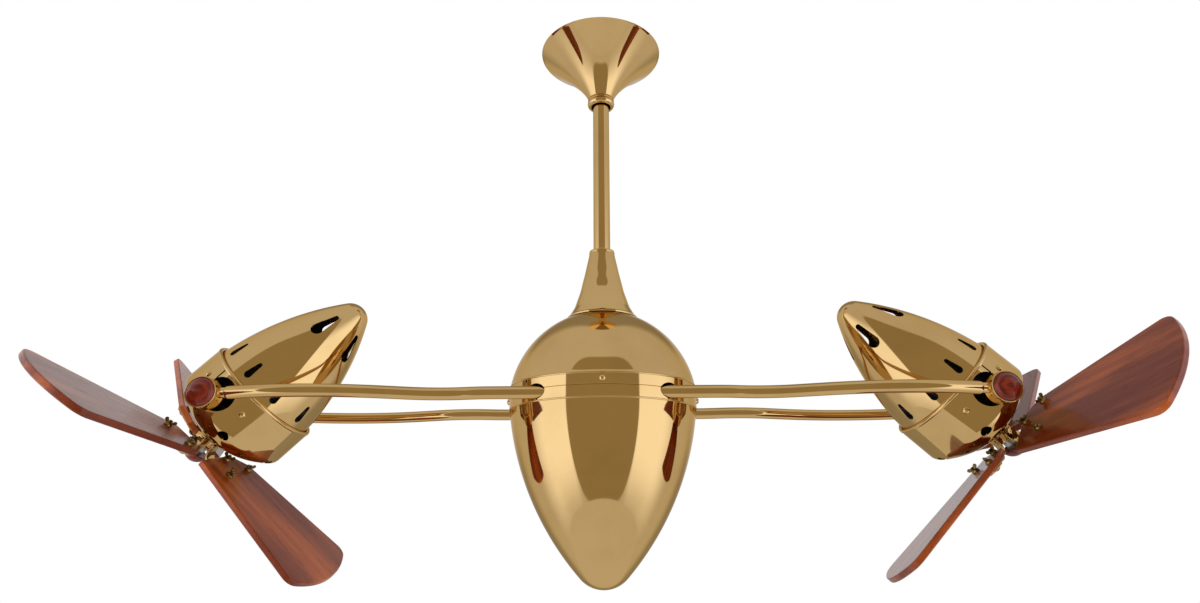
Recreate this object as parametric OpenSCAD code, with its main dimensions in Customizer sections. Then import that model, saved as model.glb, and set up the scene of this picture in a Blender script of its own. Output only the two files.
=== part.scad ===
// Twin head ceiling fan: a ceiling canopy and downrod carry an egg shaped body
// that swivels, with four bent tube arms, two tilting fan heads and three
// wooden blades on each head.
// +Z is up and the origin is the centre of the ceiling face. The arms run
// along X and the front of the fan faces -Y.

/* [Hanging] */
// Height of the arms below the ceiling
arm_drop = 442; // [420:1:560]
// Outer radius of the downrod
rod_r = 9.75; // [9:0.25:10]
// Wall of the downrod
rod_wall = 2.2; // [1.6:0.1:3]
// Radius of the canopy where it meets the ceiling
canopy_r = 74; // [72:0.5:90]
// Height of the canopy's trumpet, without its neck ring
canopy_h = 66; // [62:1:80]
// Radius at the narrow end of the trumpet
canopy_neck_r = 15; // [14.5:0.25:17]
// Sheet thickness of the canopy and of the body shells
sheet = 1.2; // [1:0.1:1.5]
// Distance between the two ceiling screws
ceiling_screw_gap = 89; // [80:1:95]
// Radius of a ceiling screw hole
ceiling_hole_r = 2.75; // [2:0.05:3.2]
// Radius of the hanger ball
ball_r = 17; // [16:0.5:18]

/* [Body] */
// Radius of the band round the body
band_r = 100.3; // [99.5:0.1:106]
// Height of the band's lower bead, from the arm plane
band_low = -8.4; // [-10:0.1:-8]
// Height of the band's upper bead, from the arm plane
band_top = 15.2; // [14.5:0.1:18]
// Height of the seam between the two shells, from the arm plane
seam_z = 3.8; // [3:0.1:5]
// Radius of the dome's side curve
dome_arc = 104.6; // [100:0.1:115]
// Height of the neck's foot above the arm plane
neck_z = 94; // [90:0.5:98]
// Height of the neck cone
neck_h = 82; // [76:0.5:88]
// Radius of the neck's foot
neck_foot_r = 39.4; // [36:0.1:41]
// Radius of the neck's top collar
neck_top_r = 14.7; // [14:0.1:16]
// Depth of the bowl's tip below the arm plane
bowl_depth = 187; // [175:1:210]
// Radius of the bowl's side curve
bowl_arc = 293; // [270:1:340]
// Radius of the bowl's tip
bowl_tip_arc = 33; // [28:0.5:36]

/* [Arms] */
// Distance from the fan's axis to a head's pivot
pivot_reach = 387.2; // [375:0.1:430]
// Radius of an arm's tube
arm_r = 6.35; // [6:0.05:7]
// Wall of an arm's tube
arm_wall = 1.5; // [1:0.1:2]
// Distance of the clamped arms from the fan's middle plane
arm_y = 75; // [72:0.5:78]
// Straight length of an arm's last stretch, before its plug
last_straight = 18.4; // [10:0.1:30]
// Radius of the bend that leads inward
inward_bend_r = 100; // [90:1:110]
// Radius of the bend at the waist
waist_bend_r = 110; // [100:1:120]
// Straight length between the waist and the outer bow
waist_straight = 28; // [20:1:35]
// Radius of the outer bow
bow_bend_r = 240; // [220:1:250]
// Radius of an arm's hole in the band
arm_hole_r = 8; // [7.5:0.1:8.5]

/* [Pivots] */
// Outer radius of a pivot cup's rim
cup_r = 15.3; // [14:0.1:16]
// Radius of the pivot boss behind the rim
boss_r = 13; // [12:0.1:13.5]
// Distance of a cup's inner end from the middle plane
cup_in = 52; // [51.5:0.1:54]
// Distance of a cup's rim from the middle plane
cup_out = 92; // [90:0.5:95]
// Height of the wooden cabochon above the rim
cabochon_h = 6.5; // [5:0.1:8]
// Radius of a trunnion pin
pin_r = 5; // [4:0.1:6]

/* [Head] */
// Downward tilt of the left head
left_tilt = 44; // [0:1:90]
// Downward tilt of the right head
right_tilt = 43; // [0:1:90]
// Shift of the head's axis from the pivot, across the axis
head_offset = -1.9; // [-3:0.1:0]
// Radius of the front shell
shell_r = 64.5; // [64:0.1:67]
// Reach of the nose in front of the pivot
nose_s = 45.5; // [44:0.5:50]
// Radius of the nose curve
nose_arc = 90; // [85:1:100]
// Radius of the shoulder between shell and nose
shoulder_r = 9; // [7:0.5:12]
// Distance of the seam bead behind the pivot
seam_s = 24.5; // [24:0.1:27]
// Outer radius of the rear dome at its mouth
rear_r = 60.6; // [60:0.1:61]
// Reach of the rear dome behind the pivot
rear_len = 160.5; // [155:0.5:175]
// Radius of the rear dome's side curve
rear_arc = 293; // [260:1:320]
// Radius of the rear dome's tip
rear_tip_arc = 18.7; // [16:0.1:22]
// Number of air slots in the seam ring, and half as many in the tip ring
slot_count = 10; // [8:2:12]
// Radius of the round side opening for a pivot boss
opening_r = 17.5; // [16.5:0.1:18]
// Distance of that opening's centre behind the pivot
opening_back = 4; // [3:0.1:4.5]
// Radius of an air hole in the shoulder
air_hole_r = 6; // [4:0.5:7]

/* [Motor] */
// Radius of the motor drum
drum_r = 47; // [45:0.5:48]
// Wall of the motor drum
drum_wall = 3.8; // [3:0.1:4.5]
// Radius of the rotor core
core_r = 23.5; // [20:0.5:26]
// Running gap between the rotor core and the stator
air_gap = 0.5; // [0.3:0.1:1]
// Radius of the motor shaft
shaft_r = 6; // [5:0.1:6.5]
// Outer radius of a ball bearing
bearing_r = 13; // [12:0.5:14]
// Width of a ball bearing
bearing_w = 8; // [6:0.5:9]

/* [Blades] */
// Distance from the head's axis to a blade's root
root_r = 20; // [20:0.5:22]
// Distance from the head's axis to a blade's tip
blade_r = 196; // [170:1:215]
// Width of a blade's root
root_w = 65; // [60:1:70]
// Width of a blade's tip, before its corners are rounded
tip_w = 128; // [100:1:135]
// Sideways shift of the blade from the radius through its middle
blade_shift = -5; // [-7:0.5:-3]
// Thickness of a blade
blade_t = 6.5; // [5:0.1:8]
// Pitch of a blade
blade_pitch = 10; // [6:0.5:12]
// Radius of a blade's tip corners
tip_corner_r = 13; // [8:0.5:18]
// Rise of the tip's crown over its corners
tip_crown = 17; // [15:1:30]
// Distance of the blade's rear face in front of the nose
blade_gap = 7.5; // [7:0.5:13]
// Direction of the left rotor's first blade
left_phase = 50; // [0:1:119]
// Direction of the right rotor's first blade
right_phase = 66; // [0:1:119]
// Thickness of a blade iron
iron_t = 2; // [1.5:0.1:2.5]
// Width of a blade iron's neck
iron_w = 14; // [12:0.5:15]
// Radius of the wooden finial
finial_r = 13; // [11:0.5:14]

/* [Hidden] */
$fn = 96;

brass = "goldenrod";
dark_brass = "darkgoldenrod";
wood = "brown";
steel = "silver";
iron_grey = "dimgray";
copper = "peru";

arm_z = -arm_drop;        // height of the arm plane
fit = 0.05;               // clearance of a fitted pair
seat = 0.15;              // clearance of nested sheet parts
running = 0.3;            // clearance of faces that turn past each other
over = 1;                 // how far a cutting tool runs past a face
rod_in = rod_r - rod_wall;

// canopy and hanger, as depths below the ceiling
ring_h = 9;               // canopy's neck ring
ring_r = canopy_neck_r + 1;
ring_bore = rod_r + 2.25;
trumpet_power = 1.45;     // how late the trumpet flares
plate_t = 3;
plate_half = 60;
plate_w = 36;
ball_z = -26;
socket_r = 24;
socket_top = -30;
socket_low = -38;
leg_t = 2.5;
leg_w = 22;
ball_pin_r = 2.5;
rod_top = ball_z + 12;

// spindle and swivel, as heights from the arm plane
sleeve_top = neck_z + neck_h - 20;
sleeve_r = rod_r + 3;
sleeve_depth = 28;
sleeve_len = 42;
shoulder_z = sleeve_top - sleeve_len;
spindle_r = 9;
wire_bore_r = 4;
coupling_pin_z = sleeve_top - 14;
rod_low = sleeve_top - sleeve_depth;
hub_r = 17;
bush_t = 3;
bush_in = spindle_r + fit;
bush_out = bush_in + bush_t;
bush_h = 14;
carrier_low = -14;
carrier_t = 5;
hub_top = 44;
thrust_h = 5;
nut_h = 8;
nut_flat = 26;
washer_h = 2;
spindle_low = carrier_low - thrust_h - washer_h - nut_h - 4;
slip_low = 56;
slip_h = 26;
slip_r = 14;

// band, shells and clamps
bead_r = 0.9;
spigot_h = 9;
spigot_r = band_r - sheet - seat;
rim_r = spigot_r - sheet - seat;
rim_t = 3;
screw_z = seam_z + 5.7;
screw_r = 1.5;
screw_head_r = 3;
screw_head_h = 1.8;
side_screw_z = seam_z - 0.9;
side_head_r = 3.9;        // the two side screws have larger, slotted heads
side_head_h = 3.6;
side_slot = 1.2;          // width and depth of their slots
arm_hole_rise = 1;        // the arm holes lie this much above the arms' own axes
neck_screw_r = 0.8;
clamp_w = 9;
clamp_half = sqrt(pow(rim_r - rim_t - running, 2) - pow(arm_y + clamp_w, 2));
clamp_h = 9.5;
clamp_split = 0.3;
window_r = 15;
window_in = 7.5;
neck_hole_r = 20;
neck_t = 1.44;            // wall of the neck cone

// arm route: headings after each bend
inward_turn = 11.1;
waist_turn = 29.1;
bow_turn = 31;
arm_start = 2;
turn_straight = 4;        // straight between the inward bend and the waist bend
lap = 0.5;                // how far a straight stretch runs into its neighbours
drawn = 0.05;             // how much the wall thins in a bend, on each side
plug_len = 12;
plug_depth = 3;           // how far the plug's end lies inside the pivot cup's wall
plug_step = 1.1;          // an arm's plug is this much thinner than its tube
plug_r = arm_r - plug_step;
end_turn = waist_turn - inward_turn - bow_turn;

// the straight at the clamp takes up what the bends leave of the reach
waist_turned = waist_turn - inward_turn;
bends_x = (inward_bend_r + waist_bend_r) * sin(inward_turn) + turn_straight * cos(inward_turn)
    + (waist_bend_r + bow_bend_r) * sin(waist_turned) + waist_straight * cos(waist_turned)
    - bow_bend_r * sin(end_turn);
plug_end_x = pivot_reach - cup_r + plug_depth;
arm_straight = plug_end_x - (last_straight + plug_len) * cos(end_turn) - bends_x - arm_start;

// head and motor, as distances along the head's axis
nose_hole_r = 12;
opening_slit_w = 1.6;
opening_slit_n = opening_r - 0.5;
opening_slit_len = 11;
shell_screw_turn = 27;
shell_screw_s = -7;
screw_boss_r = 4;
shell_screw_len = 12;
shell_screw_head_r = 3.2;
seam_slot = [-36, 3.9, -50, 2.2];   // wide end and its radius, narrow end and its radius
tip_slot = [-113, 6.2, -134, 2.8];
slot_first = 54;          // direction of the first air slot
drum_in = drum_r - drum_wall;
drum_low = -38;
drum_top = 13;
plate_s = 5;
bell_t = 5;
bearing_boss_r = bearing_r + 4;
front_bearing_s = drum_top + plate_s + 1;
rear_bearing_s = drum_low - bell_t - bearing_w - 1;
stator_low = -26;
stator_top = 2;
coil_r = 5;
coil_mid = (drum_in + core_r) / 2;
core_margin = 1;
shaft_low = rear_bearing_s - 3;
hub_low = nose_s + 0.6;
hub_flat = 9.5;
hub_round = 12;
iron_bend_r = 8.4;
blade_s = nose_s + blade_gap;
iron_s = blade_s + blade_t;
iron_end = 54;
finial_s = iron_s + iron_t + 3.3;
shaft_top = finial_s + 3;
finial_h = 10;
chamfer_root = 17;
chamfer_side = 14;
slot_start = 12;          // slot cutters start clear of the head's axis
nut_spots = [[25, -12], [44, -32], [46, 8]];
bolt_r = 2;
bolt_head_r = 4;
bolt_head_h = 2;
wing_base_r = 4.2;
wing_base_h = 3;
wing_span = 13;
wing_rise = 3;
wing_t = 1.8;
bolt_tail = 6;

// ---------------------------------------------------------------- shapes

// points of an arc round c, from angle a0 to a1
function arc(c, r, a0, a1, n = 12) =
    [for (i = [0:n]) let (a = a0 + (a1 - a0) * i / n) c + r * [cos(a), sin(a)]];

function reversed(v) = [for (i = [len(v) - 1:-1:0]) v[i]];

// where the circle round p of radius rp meets the one round q of radius rq,
// on the left of the way from p to q
function meet(p, rp, q, rq) =
    let (d = norm(q - p), u = (q - p) / d, a = (rp * rp - rq * rq + d * d) / (2 * d),
         h = sqrt(rp * rp - a * a))
    p + a * u + h * [-u[1], u[0]];

// half outline of an egg end: a long side arc from the mouth that runs into a
// small tip arc on the axis, each point lying inset within the skin
function egg_centre(mouth, side, tip_z, tip) =
    meet([0, tip_z + tip], side - tip, mouth, side);

function egg_line(mouth, side, tip_z, tip, inset) =
    let (m = egg_centre(mouth, side, tip_z, tip), q = [0, tip_z + tip],
         a_mouth = atan2(mouth[1] - m[1], mouth[0] - m[0]),
         a_tip = atan2(q[1] - m[1], q[0] - m[0]))
    concat(arc(m, side - inset, a_mouth, a_tip, 16), arc(q, tip - inset, a_tip, -90, 8));

// radius of an egg end's skin at height z on its side arc
function egg_r(mouth, side, tip_z, tip, z) =
    let (m = egg_centre(mouth, side, tip_z, tip)) m[0] + sqrt(side * side - pow(z - m[1], 2));

// radius of the trumpet at height h over its narrow end
function trumpet_r(h) = canopy_neck_r + (canopy_r - canopy_neck_r) * pow(h / canopy_h, trumpet_power);

module ring(r_out, r_in, h) {
    difference() {
        cylinder(r = r_out, h = h);
        translate([0, 0, -over]) cylinder(r = r_in, h = h + 2 * over);
    }
}

// cylinder along the direction that Z is turned to by a lean and a turn
module drill(r, h, lean, turn) rotate([0, lean, turn]) cylinder(r = r, h = h);

module dome_screw(head_r, head_h, r, len) {
    ball = (head_r * head_r + head_h * head_h) / (2 * head_h);
    intersection() {
        translate([0, 0, head_h - ball]) sphere(r = ball);
        cylinder(r = head_r + over, h = head_h + over);
    }
    translate([0, 0, -len]) cylinder(r = r, h = len + head_h / 2, $fn = 24);
}

module at_arm_plane() translate([0, 0, arm_z]) children();

// the quarter of the fan on the side of sx and sy, drawn as if both were 1
module quarter(sx, sy)
    mirror([sx < 0 ? 1 : 0, 0, 0]) mirror([0, sy < 0 ? 1 : 0, 0]) children();

// ---------------------------------------------------------------- hanging

module ceiling_bracket() {
    color(steel) difference() {
        union() {
            translate([-plate_half, -plate_w / 2, -plate_t]) cube([2 * plate_half, plate_w, plate_t]);
            for (s = [-1, 1])
                translate([s * (socket_r - leg_t / 2) - leg_t / 2, -leg_w / 2, socket_low])
                    cube([leg_t, leg_w, -socket_low]);
            translate([0, 0, socket_low]) cylinder(r = socket_r, h = socket_top - socket_low);
        }
        for (s = [-1, 1])
            translate([s * ceiling_screw_gap / 2, 0, -plate_t - over])
                cylinder(r = ceiling_hole_r, h = plate_t + 2 * over);
        translate([0, 0, ball_z]) sphere(r = ball_r + seat);
        translate([0, 0, socket_low - over]) cylinder(r = rod_r + 3, h = 2 * ball_r);
        // side entry for the rod
        translate([-rod_r - 1, -socket_r - over, socket_low - over])
            cube([2 * rod_r + 2, socket_r + over, socket_top - socket_low + 2 * over]);
        // wire hole in the plate
        translate([0, 0, -plate_t - over]) cylinder(r = 9, h = plate_t + 2 * over);
    }
}

module canopy() {
    steps = 14;
    skin = [for (i = [0:steps]) let (h = canopy_h * i / steps) [trumpet_r(h), h - canopy_h]];
    color(brass) rotate_extrude() difference() {
        union() {
            polygon(concat(skin, reversed([for (p = skin) p - [sheet * 1.4, 0]])));
            translate([ring_r - 4, -canopy_h - ring_h / 2]) circle(r = 4.4, $fn = 48);
            translate([ring_bore, -canopy_h - ring_h / 2]) square([ring_r - ring_bore, ring_h / 2 + 1.2]);
        }
        translate([0, -canopy_h - 2 * ring_h]) square([ring_bore, 2 * ring_h + over]);
    }
}

module canopy_collar() {
    color(iron_grey) translate([0, 0, -canopy_h + 1.3]) ring(canopy_neck_r - 1.9, rod_r + fit, 5);
}

module hanger_ball() {
    color(iron_grey) translate([0, 0, ball_z]) difference() {
        sphere(r = ball_r);
        translate([0, 0, -ball_r - over]) cylinder(r = rod_r + fit, h = 2 * ball_r + 2 * over);
        translate([-ball_r, -ball_r, 10]) cube([2 * ball_r, 2 * ball_r, ball_r]);
        translate([-ball_r, 0, 0]) rotate([0, 90, 0]) cylinder(r = ball_pin_r + fit, h = 2 * ball_r);
    }
}

module rod_pins() {
    pin = ball_r - 3;
    color(steel) translate([-pin, 0, ball_z]) rotate([0, 90, 0]) cylinder(r = ball_pin_r, h = 2 * pin);
    color(steel) at_arm_plane() translate([-sleeve_r, 0, coupling_pin_z])
        rotate([0, 90, 0]) cylinder(r = ball_pin_r, h = 2 * sleeve_r);
}

module downrod() {
    low = arm_z + rod_low;
    color(brass) difference() {
        translate([0, 0, low]) ring(rod_r, rod_in, rod_top - low);
        for (z = [ball_z, arm_z + coupling_pin_z])
            translate([-rod_r - over, 0, z]) rotate([0, 90, 0])
                cylinder(r = ball_pin_r + fit, h = 2 * rod_r + 2 * over);
    }
}

module spindle() {
    color(steel) at_arm_plane() difference() {
        union() {
            translate([0, 0, shoulder_z]) cylinder(r = sleeve_r, h = sleeve_top - shoulder_z);
            translate([0, 0, spindle_low]) cylinder(r = spindle_r, h = shoulder_z - spindle_low + over);
        }
        translate([0, 0, rod_low - fit]) cylinder(r = rod_r + fit, h = sleeve_depth + over);
        translate([0, 0, spindle_low - over]) cylinder(r = wire_bore_r, h = rod_low - spindle_low + over);
        translate([-sleeve_r - over, 0, coupling_pin_z]) rotate([0, 90, 0])
            cylinder(r = ball_pin_r + fit, h = 2 * sleeve_r + 2 * over);
    }
}

module spindle_nut() {
    top = carrier_low - thrust_h;
    color(steel) at_arm_plane() {
        translate([0, 0, top - washer_h]) ring(hub_r, spindle_r + fit, washer_h);
        translate([0, 0, top - washer_h - nut_h]) difference() {
            cylinder(r = nut_flat / 2 / cos(30), h = nut_h, $fn = 6);
            translate([0, 0, -over]) cylinder(r = spindle_r + fit, h = nut_h + 2 * over);
        }
    }
}

module slip_ring() {
    tracks = 3;
    step = slip_h / tracks;
    color(copper) at_arm_plane() translate([0, 0, slip_low]) difference() {
        cylinder(r = slip_r, h = slip_h);
        translate([0, 0, -over]) cylinder(r = spindle_r + fit, h = slip_h + 2 * over);
        for (i = [0:tracks - 1])
            translate([0, 0, (i + 0.5) * step - 2]) ring(slip_r + over, slip_r - 1.5, 4);
    }
}

// ---------------------------------------------------------------- swivelling body

module neck_cone() {
    // the cone's steps, as shares of its height and of its narrowing
    shares = [[0, 0], [0.02, 0], [0.037, 0.073], [0.08, 0.162], [0.122, 0.247], [0.172, 0.336],
              [0.294, 0.477], [0.405, 0.597], [0.527, 0.691], [0.648, 0.79], [0.77, 0.876],
              [0.9, 0.97], [0.95, 1], [1, 1]];
    skin = [for (s = shares)
        [neck_foot_r - (neck_foot_r - neck_top_r) * s[1], neck_h * s[0]]];
    color(brass) at_arm_plane() translate([0, 0, neck_z]) rotate_extrude()
        polygon(concat(skin, reversed([for (p = skin) [p[0] - neck_t, p[1]]])));
    color(brass) at_arm_plane() translate([0, 0, neck_z + neck_h - 5])
        ring(neck_top_r - sheet, rod_r + 0.7, 5);
}

// the dome's curve runs from the band's bead to the inner edge of the neck's foot
function dome_centre() =
    meet([band_r - 0.5, band_top + 0.8], dome_arc, [neck_foot_r - neck_t, neck_z - fit], dome_arc);

module arm_holes() {
    for (sx = [-1, 1], sy = [-1, 1]) quarter(sx, sy)
        translate([clamp_half + over, arm_y, arm_hole_rise])
            rotate([0, 90, 0]) cylinder(r = arm_hole_r, h = band_r);
}

module band_screw_holes(r) {
    for (a = [0:90:270]) translate([0, 0, a % 180 == 0 ? side_screw_z : screw_z])
        drill(r, band_r + 5, 90, a, $fn = 24);
}

module upper_dome() {
    c = dome_centre();
    a_low = atan2(band_top + 0.8 - c[1], band_r - 0.5 - c[0]);
    a_high = acos((neck_hole_r - c[0]) / dome_arc);
    color(brass) at_arm_plane() difference() {
        rotate_extrude() {
            polygon(concat(arc(c, dome_arc, a_low, a_high, 18),
                           arc(c, dome_arc - sheet, a_high, a_low, 18)));
            translate([band_r - sheet, seam_z]) square([sheet, band_top - seam_z + 2]);
            translate([band_r - 0.3, band_top]) circle(r = bead_r, $fn = 24);
        }
        arm_holes();
        band_screw_holes(screw_r + fit);
    }
}

module lower_bowl() {
    mouth = [band_r - 0.5, band_low - 0.8];
    skin = egg_line(mouth, bowl_arc, -bowl_depth, bowl_tip_arc, 0);
    inner = egg_line(mouth, bowl_arc, -bowl_depth, bowl_tip_arc, sheet);
    band = seam_z - 0.2;
    color(brass) at_arm_plane() difference() {
        rotate_extrude() {
            polygon(concat([[band_r - sheet, band], [band_r - sheet, band_low]], inner,
                           reversed(skin), [[band_r, band_low], [band_r, band]]));
            translate([band_r - 0.3, band_low]) circle(r = bead_r, $fn = 24);
            translate([spigot_r - sheet, seam_z - 3]) square([band_r - spigot_r + 0.2, 2.5]);
            translate([spigot_r - sheet, seam_z - 3]) square([sheet, spigot_h + 3]);
        }
        arm_holes();
        band_screw_holes(screw_r + fit);
    }
}

module arm_bores(r) {
    for (s = [-1, 1]) translate([-clamp_half - over, s * arm_y, 0]) rotate([0, 90, 0])
        cylinder(r = r, h = 2 * clamp_half + 2 * over);
}

module arm_carrier() {
    color(iron_grey) at_arm_plane() difference() {
        union() {
            translate([0, 0, carrier_low]) cylinder(r = rim_r, h = carrier_t);
            translate([0, 0, carrier_low]) ring(rim_r, rim_r - rim_t, spigot_h + seam_z - carrier_low);
            translate([0, 0, carrier_low]) cylinder(r = hub_r, h = hub_top - carrier_low);
            for (s = [-1, 1]) translate([-clamp_half, s * arm_y - clamp_w, carrier_low + over])
                cube([2 * clamp_half, 2 * clamp_w, -carrier_low - over - clamp_split / 2]);
        }
        arm_bores(arm_r + fit);
        arm_holes();
        band_screw_holes(screw_r);
        translate([0, 0, carrier_low - over]) cylinder(r = bush_out + fit, h = hub_top + 30);
        // round windows that lighten the plate
        for (a = [30:60:330]) rotate([0, 0, a])
            translate([(hub_r + rim_r - rim_t) / 2 - window_in, 0, carrier_low - over])
                cylinder(r = window_r, h = carrier_t + 2 * over);
    }
}

module arm_clamps() {
    color(iron_grey) at_arm_plane() difference() {
        for (s = [-1, 1]) translate([-clamp_half, s * arm_y - clamp_w, clamp_split / 2])
            cube([2 * clamp_half, 2 * clamp_w, clamp_h]);
        arm_bores(arm_r + fit);
    }
}

module swivel_bushes() {
    color(copper) at_arm_plane() for (z = [carrier_low, hub_top - bush_h])
        translate([0, 0, z]) ring(bush_out, bush_in, bush_h);
}

module thrust_bearing() {
    low = carrier_low - thrust_h + running;
    color(steel) at_arm_plane() translate([0, 0, low]) difference() {
        ring(hub_r, bush_in, thrust_h - running - fit);
        translate([0, 0, (thrust_h - running) / 2]) rotate_extrude() translate([hub_r, 0])
            circle(r = 0.8, $fn = 24);
    }
}

module brush_holder() {
    tracks = 3;
    step = slip_h / tracks;
    post = slip_r + 5;
    color(iron_grey) at_arm_plane() {
        translate([post, -6, hub_top - 8]) cube([6, 12, slip_low + slip_h - hub_top + 8]);
        translate([hub_r + fit, -6, hub_top - 8]) cube([post - hub_r + over, 12, 6]);
        for (i = [0:tracks - 1]) translate([slip_r + 0.3, -2, slip_low + (i + 0.5) * step - 1])
            cube([post - slip_r, 4, 2]);
    }
}

module body_screws() {
    screw_len = sheet * 2 + seat * 2 + rim_t;
    color(brass) at_arm_plane() {
        for (a = [90, 270]) rotate([0, 0, a]) translate([band_r + fit, 0, screw_z]) rotate([0, 90, 0])
            dome_screw(screw_head_r, screw_head_h, screw_r - fit, screw_len);
        for (a = [0, 180]) rotate([0, 0, a]) translate([band_r + fit, 0, side_screw_z]) rotate([0, 90, 0])
            difference() {
                dome_screw(side_head_r, side_head_h, screw_r - fit, screw_len);
                translate([-side_slot / 2, -side_head_r - over, side_head_h - side_slot])
                    cube([side_slot, 2 * side_head_r + 2 * over, side_slot + over]);
            }
        for (a = [30:120:270]) rotate([0, 0, a])
            translate([neck_foot_r + fit, 0, neck_z + neck_screw_r + fit])
                rotate([0, 90, 0]) cylinder(r = neck_screw_r, h = neck_screw_r, $fn = 24);
    }
}

// ---------------------------------------------------------------- arms

// a straight stretch laps a little over the bends at both of its ends
module tube_straight(len, r = arm_r, r_in = arm_r - arm_wall)
    translate([-lap, 0, 0]) rotate([0, 90, 0]) ring(r, r_in, len + 2 * lap);

// a bend from the origin, that starts along X and turns to +Y, or to -Y where turn is negative
module tube_bend(r, turn) {
    mirror([0, turn < 0 ? 1 : 0, 0]) translate([0, r, 0]) rotate([0, 0, -90])
        rotate_extrude(angle = abs(turn)) translate([r, 0]) difference() {
            circle(r = arm_r - drawn, $fn = 48);
            circle(r = arm_r - arm_wall + drawn, $fn = 48);
        }
}

module past_straight(len) translate([len, 0, 0]) children();

module past_bend(r, turn)
    translate([r * sin(abs(turn)), sign(turn) * r * (1 - cos(turn)), 0]) rotate([0, 0, turn]) children();

module past_inward_bend() past_straight(arm_straight) past_bend(inward_bend_r, -inward_turn) children();

module past_waist_bend() past_straight(turn_straight) past_bend(waist_bend_r, waist_turn) children();

module past_bends()
    translate([arm_start, arm_y, 0]) past_inward_bend() past_waist_bend() past_straight(waist_straight)
        past_bend(bow_bend_r, -bow_turn) children();

module arm() {
    color(brass) translate([arm_start, arm_y, 0]) {
        tube_straight(arm_straight);
        past_straight(arm_straight) tube_bend(inward_bend_r, -inward_turn);
        past_inward_bend() {
            tube_straight(turn_straight);
            past_straight(turn_straight) tube_bend(waist_bend_r, waist_turn);
            past_waist_bend() {
                tube_straight(waist_straight);
                past_straight(waist_straight) tube_bend(bow_bend_r, -bow_turn);
            }
        }
    }
    color(brass) past_bends() {
        tube_straight(last_straight);
        past_straight(last_straight) tube_straight(plug_len - lap, plug_r, plug_r - arm_wall);
    }
}

module left_front_arm() at_arm_plane() quarter(-1, -1) arm();
module left_rear_arm() at_arm_plane() quarter(-1, 1) arm();
module right_front_arm() at_arm_plane() quarter(1, -1) arm();
module right_rear_arm() at_arm_plane() quarter(1, 1) arm();

// ---------------------------------------------------------------- pivots

cabochon_seat = 2.8;      // how deep the cabochon sits in the rim
rim_wall = 1.5;
cup_step = 76;            // where the boss widens to the cup
pin_end = cup_step - 1;

module pivot_cup() {
    difference() {
        translate([pivot_reach, 0, 0]) rotate([-90, 0, 0]) difference() {
            union() {
                translate([0, 0, cup_in]) cylinder(r = boss_r, h = cup_step - cup_in + over);
                translate([0, 0, cup_step]) cylinder(r = cup_r, h = cup_out - cup_step);
            }
            translate([0, 0, cup_out - cabochon_seat]) cylinder(r = cup_r - rim_wall, h = 2 * cabochon_seat);
            translate([0, 0, cup_in - over]) cylinder(r = pin_r + fit, h = pin_end + 1 - cup_in + over);
        }
        past_bends() past_straight(last_straight - over)
            rotate([0, 90, 0]) cylinder(r = plug_r + fit, h = plug_len + over + fit);
    }
}

module pivot_cups(sx) color(brass) at_arm_plane() for (sy = [-1, 1]) quarter(sx, sy) pivot_cup();

module cabochons(sx) {
    r = cup_r - rim_wall - fit;
    ball = (r * r + cabochon_h * cabochon_h) / (2 * cabochon_h);
    color(wood) at_arm_plane() for (sy = [-1, 1]) quarter(sx, sy)
        translate([pivot_reach, cup_out, 0]) rotate([-90, 0, 0]) {
            translate([0, 0, fit - cabochon_seat]) cylinder(r = r, h = cabochon_seat);
            intersection() {
                translate([0, 0, cabochon_h - ball]) sphere(r = ball);
                translate([0, 0, -over]) cylinder(r = r, h = cabochon_h + 2 * over);
            }
        }
}

module left_pivot_cups() pivot_cups(-1);
module right_pivot_cups() pivot_cups(1);
module left_cabochons() cabochons(-1);
module right_cabochons() cabochons(1);

// ---------------------------------------------------------------- heads
// A head is drawn with its axis along Z, its pivot at the origin, the hub end
// up and the nose's upper side along X.

module at_left_head()
    translate([-pivot_reach, 0, arm_z]) rotate([0, -90 - left_tilt, 0]) children();

module at_right_head()
    translate([pivot_reach, 0, arm_z]) rotate([0, 90 + right_tilt, 0]) rotate([0, 0, 180]) children();

module on_head_axis() translate([head_offset, 0, 0]) children();

bead_mid = (rear_r + seat + shell_r + 1) / 2;
bead_tube = (shell_r + 1 - rear_r - seat) / 2;
nose_centre = [0, nose_s - nose_arc];
shoulder_x = shell_r - shoulder_r;
shoulder_s = nose_centre[1] + sqrt(pow(nose_arc - shoulder_r, 2) - pow(shoulder_x, 2));
shoulder_turn = atan2(shoulder_s - nose_centre[1], shoulder_x);
nose_turn = acos(nose_hole_r / nose_arc);

module shell_screw_places()
    for (side = [90, 270], t = [-1, 1]) rotate([0, 0, side + t * shell_screw_turn])
        translate([0, 0, shell_screw_s]) children();

module front_shell() {
    outer = concat([[shell_r, -seam_s]], arc([shoulder_x, shoulder_s], shoulder_r, 0, shoulder_turn, 8),
                   arc(nose_centre, nose_arc, shoulder_turn, nose_turn, 14));
    inner = concat([[shell_r - sheet, -seam_s]],
                   arc([shoulder_x, shoulder_s], shoulder_r - sheet, 0, shoulder_turn, 8),
                   arc(nose_centre, nose_arc - sheet, shoulder_turn, nose_turn, 14));
    color(brass) on_head_axis() difference() {
        rotate_extrude() {
            polygon(concat(outer, reversed(inner)));
            translate([bead_mid, -seam_s]) circle(r = bead_tube, $fn = 36);
        }
        for (turn = [90, 270]) translate([-head_offset, 0, -opening_back])
            drill(opening_r, shell_r + 5, 90, turn);
        for (s = [-1, 1])
            translate([opening_slit_n, s * shell_r - opening_r, -seam_s + bead_tube])
                cube([opening_slit_w, 2 * opening_r, opening_slit_len]);
        for (a = [0:60:300]) rotate([0, 0, a])
            translate([shoulder_x, 0, shoulder_s]) drill(air_hole_r, 2 * shoulder_r, 45, 0);
        shell_screw_places() drill(screw_r + fit, shell_r + 5, 90, 0, $fn = 24);
    }
}

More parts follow.
